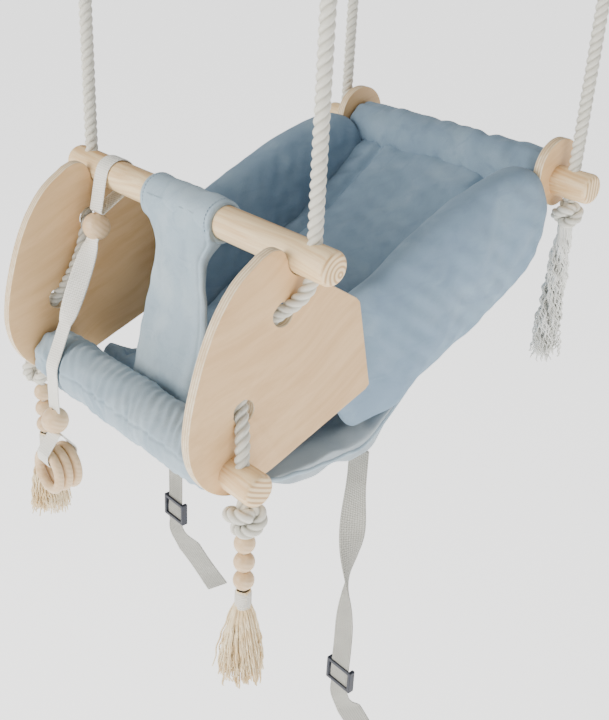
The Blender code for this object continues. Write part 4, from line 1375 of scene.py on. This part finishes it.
@dataclass
class SideWall:
    """The padded side of the seat, from inside the plywood to the rear roll."""

    side: Side
    top: tuple = (
        (0.0545, -0.0640),
        (0.0680, -0.0560),
        (0.1000, -0.0430),
        (0.1370, -0.0240),
        (0.1750, -0.0070),
        (0.2110, 0.0075),
        (0.2500, 0.0175),
        (0.2800, 0.0205),
        (0.2990, 0.0130),
        (0.3080, -0.0060),
    )
    bottom: tuple = (
        (0.0565, -0.1350),
        (0.0680, -0.1640),
        (0.0880, -0.1850),
        (0.1150, -0.1810),
        (0.1480, -0.1625),
        (0.1880, -0.1435),
        (0.2300, -0.1260),
        (0.2700, -0.1030),
        (0.3000, -0.0790),
        (0.3160, -0.0540),
    )
    middle: float = 0.1170
    inward: float = 0.0165
    outward: float = 0.0265
    covered: float = 0.0125
    rows: int = 150
    columns: int = 90

    def grids(self) -> tuple[Array, Array, Array]:
        """The outer and inner faces, ruled from the bottom line to the top line, and the crown.

        The outer face swells from the plywood's rear edge backwards. The inner face leans out a little
        towards its top.
        """
        along = (np.linspace(0, 1, self.rows) + edge_close(self.rows)) / 2
        low, high = (smooth_line(line, 600)[(along * 599).astype(int)] for line in (self.bottom, self.top))
        v = edge_close(self.columns)[None, :]
        yz = low[:, None] * (1 - v[..., None]) + high[:, None] * v[..., None]
        y, z = yz[..., 0], yz[..., 1]
        free = np.clip((y - 0.070 + 0.25 * (z + 0.09)) / 0.045, 0, 1)
        free = free * free * (3 - 2 * free)
        out = self.covered + (self.outward - self.covered) * free
        soft = 0.0022 * ripple(y, z, 3 + self.side.value, 0.035, 0.11)
        fine = 0.0009 * ripple(y, z, 9 + self.side.value, 0.014, 0.03)
        pull = 0.0012 * np.sin(TURN * (y * 0.8 - z * 0.5) / 0.026) * np.exp(-((v - 0.06) / 0.10) ** 2)
        outer = self.middle + out + (soft + fine + pull) * free
        full = np.clip((y - 0.060) / 0.110, 0, 1)
        inward = 0.003 + (self.inward - 0.003) * full * (2 - full)
        inner = self.middle - inward - (soft + fine + 0.0035 * dome(v, 2.0)) * full
        crown = dome(along, 9.0)[:, None] * dome(v, 2.7)
        s = self.side.value
        faces = [np.stack([s * x, y, z], axis=2) for x in (outer, inner)]
        return faces[0], faces[1], crown

    def seam(self, lift: float) -> Array:
        """The line of the seam along the top of the wall."""
        line = smooth_line(self.top[1:-1], 200)
        x = np.full((200, 1), self.side.value * (self.middle + 0.0035))
        return np.concatenate([x, line + (0, lift)], axis=1)

    def build(self) -> None:
        """Makes the wall."""
        word = self.side.word
        outer, inner, crown = self.grids()
        wall = piece(pillow(outer, inner, crown), f"{word}_padded_wall", VELVET, "seat", [f"{word}_side_wall"])


PAD_TOP = (
    (-0.0170, -0.1560),
    (-0.0110, -0.1620),
    (0.0050, -0.1690),
    (0.0400, -0.1730),
    (0.0720, -0.1660),
    (0.0960, -0.1500),
    (0.1350, -0.1220),
    (0.1740, -0.0950),
    (0.2140, -0.0700),
    (0.2480, -0.0480),
    (0.2760, -0.0270),
    (0.2980, -0.0090),
)


@dataclass
class SeatPad:
    """The padded sling that is both seat and back."""

    half: float = 0.1035
    thick: float = 0.018
    tucked: tuple[float, float] = (0.3130, -0.0010)
    rows: int = 190
    columns: int = 130

    def shell(self) -> Shell:
        """The pad: its top follows the sling's line, puffed up in the middle and creased down both sides."""
        along = (np.linspace(0, 1, self.rows) + edge_close(self.rows)) / 2
        line = smooth_line([*PAD_TOP, self.tucked], 900)[(along * 899).astype(int)]
        way = headings(line)
        down = np.stack([way[:, 1], -way[:, 0]], axis=1)
        v = edge_close(self.columns)[None, :]
        x = (2 * v - 1) * self.half
        u = lengths(line)[:, None]
        crease = np.exp(-(((np.abs(x) - 0.074 - 0.004 * np.sin(u * 30)) / 0.0055) ** 2))
        folds = 0.0026 * ripple(u, x, 21, 0.045, 0.13) + 0.0010 * ripple(u, x, 22, 0.018, 0.04)
        drawn = 0.0012 * np.sin(TURN * (u + 0.4 * np.abs(x)) / 0.022) * np.exp(-(((np.abs(x) - 0.085) / 0.014) ** 2))
        rise = 0.0040 * dome(v, 2.0) - 0.0070 * crease + folds + drawn
        top = line[:, None] - down[:, None] * rise[..., None]
        base = line[:, None] + down[:, None] * (self.thick + 0.0012 * ripple(u, x, 23, 0.04, 0.1))[..., None]
        across = np.broadcast_to(x, (self.rows, self.columns))[..., None]
        crown = dome(along, 16.0)[:, None] * dome(v, 7.0)
        return pillow(np.concatenate([across, top], axis=2), np.concatenate([across, base], axis=2), crown)

    def build(self) -> None:
        """Makes the pad."""
        piece(self.shell(), "padded_sling", VELVET, "seat", ["seat_pad"])


@dataclass
class BaseCloth:
    """The loose gathered cloth under the seat, piped along both sides."""

    half: float = 0.1290
    upper: tuple = ((-0.0232, -0.1940), (0.0100, -0.1938), (0.0500, -0.1950), (0.0980, -0.1925), (0.1200, -0.1810), (0.1500, -0.1590))
    lower: tuple = ((-0.0232, -0.1965), (0.0, -0.2050), (0.0300, -0.2120), (0.0660, -0.2140), (0.1060, -0.2105), (0.1200, -0.1950), (0.1500, -0.1620))
    rows: int = 150
    columns: int = 150

    def edges(self) -> tuple[Array, Array]:
        """The upper and lower lines, at matching shares of their length."""
        return smooth_line(self.upper, self.rows), smooth_line(self.lower, self.rows)

    def shell(self) -> Shell:
        """The cloth: soft folds that run front to back and deepen towards the piped sides."""
        high, low = self.edges()
        v = edge_close(self.columns)[None, :]
        x = (2 * v - 1) * self.half
        u = lengths(low)[:, None]
        side = np.exp(-(self.half - np.abs(x)) / 0.035)
        folds = 0.0026 * ripple(u * 0.35, x, 31, 0.014, 0.035) * (0.35 + side)
        folds = folds + 0.0008 * np.sin(TURN * u / 0.034 + 2 * np.sin(40 * x)) * side
        under = low[:, None] + np.stack([0 * folds, folds - 0.0006], axis=2)
        over = high[:, None] + np.stack([0 * folds, 0.4 * folds], axis=2)
        across = np.broadcast_to(x, (self.rows, self.columns))[..., None]
        crown = dome(np.linspace(0, 1, self.rows), 6.0)[:, None] * dome(v, 9.0)
        return pillow(np.concatenate([across, over], axis=2), np.concatenate([across, under], axis=2), crown)

    def piping(self, side: Side) -> Shell:
        """A covered cord along one side of the cloth."""
        high, low = self.edges()
        line = (high + low) / 2
        wave = 0.0005 * np.sin(TURN * lengths(line) / 0.030)
        path = np.concatenate([np.full((self.rows, 1), side.value * (self.half - 0.0006)), line + wave[:, None]], axis=1)
        return tube(path[4:-4], 0.0021, np.array([1.0, 0.0, 0.0]))

    def build(self) -> None:
        """Makes the cloth and its piping."""
        cloth = piece(self.shell(), "gathered_base_cloth", BASE_LINING_VELVET_PAINTED_LIGHT, "seat", ["seat_base_cloth"])
        for side in Side:
            piece(self.piping(side), f"{side.word}_base_piping", FLAP_VELVET_PAINTED_LIGHT, "seat")


@dataclass
class CrotchFlap:
    """The sleeve on the handlebar and the two-layer flap between the legs."""

    sleeve_half: float = 0.048
    wall: float = 0.0045
    stations: tuple = (
        (0.0060, -0.0168, -0.0150, 0.0472),
        (-0.0010, -0.0188, -0.0140, 0.0475),
        (-0.0060, -0.0192, -0.0130, 0.0475),
        (-0.0120, -0.0190, -0.0080, 0.0472),
        (-0.0190, -0.0184, 0.0060, 0.0440),
        (-0.0300, -0.0170, 0.0010, 0.0372),
        (-0.0420, -0.0160, -0.0035, 0.0335),
        (-0.0530, -0.0160, -0.0055, 0.0350),
        (-0.0660, -0.0168, -0.0070, 0.0382),
        (-0.0800, -0.0180, -0.0085, 0.0405),
        (-0.1080, -0.0235, -0.0135, 0.0430),
        (-0.1300, -0.0290, -0.0190, 0.0442),
        (-0.1480, -0.0335, -0.0220, 0.0452),
        (-0.1640, -0.0360, -0.0240, 0.0456),
    )
    rows: int = 110
    columns: int = 110

    def loops(self) -> Array:
        """The stations, joined by a smooth line: height, front, back and half width of each row."""
        return smooth_line(self.stations, self.rows)

    def flap(self) -> Shell:
        """The flap: flat ovals whose width follows the stations, with folds that hang from the sleeve."""
        rows = self.loops()
        z, front, back, half = (rows[:, k : k + 1] for k in range(4))
        angle = TURN * (np.arange(self.columns) + 0.5) / self.columns
        wide = np.sign(np.cos(angle)) * np.abs(np.cos(angle)) ** 0.55
        deep = np.sign(np.sin(angle)) * np.abs(np.sin(angle)) ** 0.75
        x = half * wide
        fold = 0.0011 * ripple(x, 0.3 * z, 41, 0.016, 0.034) + 0.0007 * ripple(x, z, 42, 0.02, 0.06)
        hem = -0.0009 * np.exp(-(((np.abs(x) - half + 0.0045) / 0.0012) ** 2))
        y = (front + back) / 2 - (back - front) / 2 * deep - fold - np.sign(deep) * hem
        return lattice(np.stack([x, y, z + 0 * x], axis=2), loop=True, capped=True)

    def sleeve(self) -> Shell:
        """The sleeve: a soft tube with a rolled hem at each end, the cloth pulled in small folds round it."""
        inner = DOWEL_RADIUS + 0.0003
        outer = DOWEL_RADIUS + self.wall
        run = np.linspace(-1, 1, 110)
        end = 1 - np.abs(run)
        swell = np.where(end < 0.045, np.sqrt(np.clip(end / 0.045, 0, 1)) * 1.0, 1.0 - 0.12 * np.exp(-(((end - 0.10) / 0.02) ** 2)))
        angle = TURN * np.arange(96) / 96
        place = self.sleeve_half * run[:, None]
        folds = 0.0006 * ripple(place, angle[None] * outer, 51, 0.014, 0.045)
        folds = folds + 0.0004 * np.sin(TURN * place / 0.013 + 2 * np.sin(angle[None])) * (1 + np.cos(angle[None] + 0.9)) / 2
        radius = inner + (outer - 0.0003 - inner + folds) * swell[:, None]
        outside = np.stack([place + 0 * radius, radius * np.cos(angle), radius * np.sin(angle)], axis=2)
        back = np.stack([place[::-1] + 0 * radius, (inner + 0 * radius) * np.cos(angle), inner * np.sin(angle) + 0 * radius], axis=2)
        return lattice(np.concatenate([outside, back[2:-2]]), ring=True, loop=True)

    def edge_line(self, sign: int, face: float) -> Array:
        """The stitch line near one edge of the flap, on its front (1) or back (-1)."""
        rows = self.loops()[16:-8]
        x = sign * (rows[:, 3] - 0.0045)
        y = np.where(face > 0, rows[:, 1], rows[:, 2]) - face * -0.0002
        return np.stack([x, y + face * 0.0002, rows[:, 0]], axis=1)

    def build(self) -> None:
        """Makes the flap, the sleeve and the sleeve's stitches."""
        start, end = (0, -0.016, -0.020), (0, -0.027, -0.146)
        flap = piece(self.flap(), "hanging_crotch_flap", FLAP_VELVET_PAINTED_LIGHT, "handlebar", ["crotch_flap"], bend=("seat", start, end))
        piece(self.sleeve(), "handlebar_sleeve", FLAP_VELVET_PAINTED_LIGHT, "handlebar", ["flap_sleeve"])
        rim = TURN * np.arange(121) / 120
        for side in Side:
            ring_line = np.stack(
                [np.full(121, side.value * (self.sleeve_half - 0.0055)), 0.01835 * np.cos(rim), 0.01835 * np.sin(rim)], axis=1
            )
            piece(stitches(ring_line), f"{side.word}_sleeve_stitches", THREAD, "handlebar")


# Straps


@dataclass
class SeatStrap:
    """A webbing strap sewn under the seat, with a ladder buckle and a loose tail."""

    side: Side
    y: float
    buckle_z: float
    twist: float
    x: float = 0.1165
    top: float = -0.2140
    width: float = 0.025
    thick: float = 0.0016
    buckle_height: float = 0.026
    buckle_depth: float = 0.0072
    bar: float = 0.004
    tail: float = 0.150
    tail_turn: float = 0.95
    lean: float = math.radians(28)

    def route(self) -> Array:
        """The strap's middle line, down to the buckle and off backwards below it."""
        end = self.buckle_z - self.buckle_height / 2 - 0.004
        bend = 0.012
        run = self.tail - self.buckle_height / 2 - bend
        share = np.linspace(0, 1, 5)
        down = [(self.y, z) for z in np.linspace(self.top, end, 6)]
        out = [
            (self.y + 0.002 + run * k * math.sin(self.lean), end - bend - run * k * math.cos(self.lean))
            for k in share
        ]
        line = smooth_line([*down, *out], 260)
        return np.concatenate([np.full((260, 1), self.side.value * self.x), line], axis=1)

    def webbing(self) -> Shell:
        """The webbing: a flat section with rounded edges, turned about its own line where it twists."""
        path = self.route()
        along = lengths(path)
        free = (along - 0.030) / (self.top - self.buckle_z - 0.085)
        turn = self.twist * np.clip(free, 0, 1) ** 2 * (3 - 2 * np.clip(free, 0, 1))
        loose = np.clip((along - (self.top - self.buckle_z) - 0.020) / 0.045, 0, 1)
        turn = turn + loose * (self.tail_turn + 0.12 * np.sin(along * 40))
        across = np.stack([np.cos(turn), np.sin(turn), np.zeros(len(path))], axis=1)
        t = np.linspace(-1, 1, 26)
        half = self.width / 2
        face = self.thick / 2 * (1 - np.abs(t) ** 14) ** (1 / 4)
        section = np.concatenate([np.stack([t * half, face], axis=1), np.stack([t * half, -face], axis=1)[-2:0:-1]])
        return lattice(carried(section, path, across), loop=True, capped=True)

    def buckle(self) -> Shell:
        """Two rails and three bars, the middle bar behind the webbing and the others in front."""
        x, y, z = self.side.value * self.x, self.y, self.buckle_z
        inner, outer = self.width / 2 + 0.0008, self.width / 2 + 0.0045
        front, half = self.buckle_depth / 2, self.buckle_height / 2
        gap = self.thick / 2 + 0.0004
        parts = [block((x + s * inner, y - front, z - half), (x + s * outer, y + front, z + half)) for s in (-1, 1)]
        reach = (inner + outer) / 2
        for number, way in enumerate((-1, 1, -1)):
            low = z - half + number * (half - self.bar / 2)
            parts.append(block((x - reach, y + way * gap, low), (x + reach, y + way * front, low + self.bar)))
        return together(parts)

    def stitch_box(self) -> Shell:
        """A box of stitches at the strap's top, with a cross in it."""
        x, y, z = self.side.value * self.x, self.y - self.thick / 2 - 0.0002, self.top - 0.011
        corner = np.array([(-0.0095, -0.008), (0.0095, -0.008), (0.0095, 0.008), (-0.0095, 0.008), (-0.0095, -0.008), (0.0095, 0.008)])
        line = np.concatenate([np.linspace(a, b, 20) for a, b in zip(corner[:-1], corner[1:])])
        return stitches(np.stack([x + line[:, 0], np.full(len(line), y), z + line[:, 1]], axis=1), 0.0026, 0.002, 0.0003)

    def build(self) -> None:
        """Makes the strap and its buckle."""
        word = self.side.word
        path = self.route()
        buckle = piece(
            self.buckle(), f"{word}_ladder_buckle", BLACK, f"{word}_buckle", [f"{word}_strap_buckle"], sharp=40, bevel=0.0008
        )
        strap = piece(self.webbing(), f"{word}_strap_webbing", GREY_WEBBING, f"{word}_strap", [f"{word}_webbing_strap"])


# Toy


@dataclass
class HangingToy:
    """A cotton tape looped round the handlebar and over the front roll, with two beads and three rings."""

    bar_x: float = -0.112
    roll_x: float = -0.086
    width: float = 0.019
    thick: float = 0.0016
    bead_radius: float = 0.0125
    upper: tuple[float, float] = (-0.026, -0.042)
    lower_z: float = -0.211
    ring_major: float = 0.0185
    ring_wire: float = 0.0045
    ring_pitch: float = 0.0096
    ring_z: float = -0.262
    gap: float = 0.0004
    free_turn: float = 0.80

    def x_of(self, z: Array) -> Array:
        """The tape's place across, which leans evenly from the bar to the roll."""
        return self.bar_x + (self.roll_x - self.bar_x) * np.clip(z / FRONT_DOWEL[1], 0, 1)

    @property
    def reach(self) -> float:
        """How far the tape's middle is from the roll's axis."""
        return FRONT_ROLL_RADIUS + self.gap + self.thick / 2

    def section(self) -> Array:
        """The tape's section, a with its width and b with its thickness, soft at both edges."""
        t = np.linspace(-1, 1, 20)
        face = self.thick / 2 * (1 - np.abs(t) ** 12) ** (1 / 3)
        return np.concatenate(
            [np.stack([t * self.width / 2, face], axis=1), np.stack([t * self.width / 2, -face], axis=1)[-2:0:-1]]
        )

    def tape_path(self) -> Array:
        """Straight from the upper bead to the roll, round it to its front, and straight down to the lower bead."""
        centre, start = np.array(FRONT_DOWEL), np.array(self.upper)
        off = start - centre
        touch = math.atan2(off[1], off[0]) + math.acos(self.reach / float(np.hypot(*off)))
        angle = np.linspace(touch, math.pi, 40)
        wrap = centre + self.reach * np.stack([np.cos(angle), np.sin(angle)], axis=1)
        foot = np.array([wrap[-1, 0], self.lower_z + self.bead_radius - 0.002])
        first = start + unit(wrap[0] - start) * (self.bead_radius - 0.002)
        line = even(np.concatenate([np.linspace(first, wrap[0], 60)[:-1], wrap, np.linspace(wrap[-1], foot, 40)[1:]]), 200)
        return np.concatenate([self.x_of(line[:, 1])[:, None], line], axis=1)

    def loop_shell(self, circles: Sequence[tuple[Sequence[float], float]], leaning: bool) -> Shell:
        """The tape pulled tight round circles in the YZ plane."""
        line = belt(circles, 200)
        x = self.x_of(line[:, 1]) if leaning else np.full(len(line), self.roll_x)
        path = np.concatenate([x[:, None], line], axis=1)
        return lattice(carried(self.section(), path, np.array([1.0, 0.0, 0.0]), True), True, True)

    def build(self) -> None:
        """Makes the tape, the beads and the rings."""
        y0, z0 = self.upper
        y = FRONT_DOWEL[0] - self.reach
        around = DOWEL_RADIUS + self.gap + self.thick / 2
        neck = (y0 + 0.0035, z0 + self.bead_radius + 0.0020)
        loop = self.loop_shell([((0.0, 0.0), around), (neck, 0.0020)], True)
        piece(loop, "toy_tape_bar_loop", TAPE, "handlebar", ["toy_bar_loop"], sharp=60)
        x0 = float(self.x_of(np.array(z0)))
        upper = piece(bead((x0, y0, z0), self.bead_radius), "toy_bead_above", BEECH, "handlebar", ["toy_upper_bead"], sharp=50)
        lower_place = (self.roll_x, y, self.lower_z)
        lower = piece(bead(lower_place, self.bead_radius), "toy_bead_below", BEECH, "toy", ["toy_lower_bead"], sharp=50)
        path = self.tape_path()
        share = np.clip((lengths(path) - 0.004) / 0.088, 0, 1)
        turn = self.free_turn * np.sin(math.pi * np.minimum(share * 1.15, 1)) ** 0.7
        across = np.stack([np.cos(turn), np.sin(turn), np.zeros(len(path))], axis=1)
        tape = piece(
            lattice(carried(self.section(), path, across), loop=True, capped=True),
            "toy_tape",
            TAPE,
            "handlebar",
            ["toy_upper_tape", "toy_lower_tape"],
            bend=("toy", (self.roll_x, y, FRONT_DOWEL[1] + 0.006), (self.roll_x, y, FRONT_DOWEL[1] - 0.010)),
        )
        wire_z = self.ring_z + self.ring_major
        hug = self.ring_wire + self.gap + self.thick / 2
        sag = self.ring_major - math.sqrt(self.ring_major**2 - (self.width / 2) ** 2) + 3 * self.gap
        wires = [(y + way, z) for way in (-self.ring_pitch, self.ring_pitch) for z in (wire_z, wire_z - sag)]
        top = (y, self.lower_z - self.bead_radius - 0.0022)
        ring_loop = self.loop_shell([(top, 0.0022), *((wire, hug) for wire in wires)], False)
        piece(ring_loop, "toy_tape_ring_loop", TAPE, "toy", ["toy_ring_loop"], sharp=60)
        for number in (1, 2, 3):
            centre = (self.roll_x, y + (number - 2) * self.ring_pitch, self.ring_z)
            body = f"toy_ring_{number}"
            piece(hoop(centre, self.ring_major, self.ring_wire), f"{body}_turned", BEECH, body, [body])


# Studio


@dataclass
class Studio:
    """The camera, the soft lights and the pale floor.

    Attributes:
        place: The camera's place, from the handlebar's middle.
        azimuth: Where it looks, anticlockwise from the back of the swing.
        elevation: How far down it looks.
        roll: How far it is turned about its own view.
    """

    place: tuple[float, float, float] = (0.6526, -0.4826, 0.2638)
    azimuth: float = 46.34
    elevation: float = 26.37
    roll: float = 3.13
    lens: float = 50.66
    floor_drop: float = 0.42

    def camera(self) -> None:
        """Sets up the camera."""
        a, e, r = (math.radians(angle) for angle in (self.azimuth, self.elevation, self.roll))
        right = np.array([math.cos(a), math.sin(a), 0.0])
        look = np.array([-math.sin(a) * math.cos(e), math.cos(a) * math.cos(e), -math.sin(e)])
        up = np.cross(right, look)
        axes = [right * math.cos(r) + up * math.sin(r), up * math.cos(r) - right * math.sin(r), -look]
        matrix = np.eye(4)
        matrix[:3, :3] = np.stack(axes, axis=1)
        matrix[:3, 3] = BAR + self.place
        data = bpy.data.cameras.new("view")
        data.lens, data.sensor_width = self.lens, 36.0
        obj = bpy.data.objects.new("view", data)
        obj.matrix_world = Matrix(matrix.tolist())
        bpy.context.scene.collection.objects.link(obj)
        bpy.context.scene.camera = obj

    def light(self, name: str, place: Sequence[float], size: float, watts: float, colour: str = "ffffff") -> None:
        """A square soft light that points at the seat."""
        data = bpy.data.lights.new(name, "AREA")
        data.size, data.energy, data.color = size, watts, tone(colour)[:3]
        obj = bpy.data.objects.new(name, data)
        away = unit(np.asarray(place, float) - np.array([0.0, 0.1, -0.1]))
        side = unit(np.cross([0.0, 0.0, 1.0], away))
        matrix = np.eye(4)
        matrix[:3, :3] = np.stack([side, np.cross(away, side), away], axis=1)
        matrix[:3, 3] = BAR + place
        obj.matrix_world = Matrix(matrix.tolist())
        bpy.context.scene.collection.objects.link(obj)

    def floor(self) -> None:
        """A wide pale floor under the hanging swing."""
        z = CAD_BOX[0][2] - self.floor_drop
        mesh = bpy.data.meshes.new("floor")
        reach = 30.0
        corners = [(-reach, -reach, z), (reach, -reach, z), (reach, reach, z), (-reach, reach, z)]
        mesh.from_pydata(corners, [], [(0, 1, 2, 3)])
        material = bpy.data.materials.new("pale_floor")
        material.use_nodes = True
        shader = material.node_tree.nodes["Principled BSDF"]
        shader.inputs["Base Color"].default_value = (0.96, 0.96, 0.96, 1.0)
        shader.inputs["Roughness"].default_value = 0.9
        shader.inputs["Emission Color"].default_value = (1.0, 1.0, 1.0, 1.0)
        shader.inputs["Emission Strength"].default_value = 1.70
        mesh.materials.append(material)
        obj = bpy.data.objects.new("floor", mesh)
        bpy.context.scene.collection.objects.link(obj)

    def build(self) -> None:
        """Makes the studio."""
        self.camera()
        self.light("key", (-0.6, -2.1, 0.7), 1.3, 74.0, "fffaf2")
        self.light("fill", (2.2, -0.5, -0.5), 1.6, 36.0, "fffaf4")
        self.light("back", (0.6, 2.2, 1.5), 1.8, 14.0)
        self.floor()
        world = bpy.data.worlds.new("studio")
        bpy.context.scene.world = world
        world.use_nodes = True
        background = world.node_tree.nodes["Background"]
        background.inputs["Color"].default_value = (1.0, 1.0, 1.0, 1.0)
        background.inputs["Strength"].default_value = 0.38


def main() -> None:
    """Builds the swing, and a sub-assembly at a time."""
    logging.basicConfig(level=logging.INFO, format="%(message)s")
    Studio().build()
    for side in Side:
        for row in ("front", "rear"):
            HangingRope(side, row).build()
        Tassel(side).build()
        Fringe(side).build()
    SeatStrap(Side.NEAR, 0.104, -0.487, math.pi).build()
    SeatStrap(Side.FAR, 0.066, -0.393, 0.0).build()
    Woodwork().build()
    Roll("front", FRONT_DOWEL, FRONT_ROLL_RADIUS, 0.129, 61, 2.9, 0.0105, 0.0011).build()
    Roll("rear", REAR_DOWEL, 0.0265, 0.124, 67, 3.9, 0.033, 0.0013).build()
    for side in Side:
        SideWall(side).build()
    SeatPad().build()
    BaseCloth().build()
    CrotchFlap().build()
    HangingToy().build()


if __name__ == "__main__":
    main()
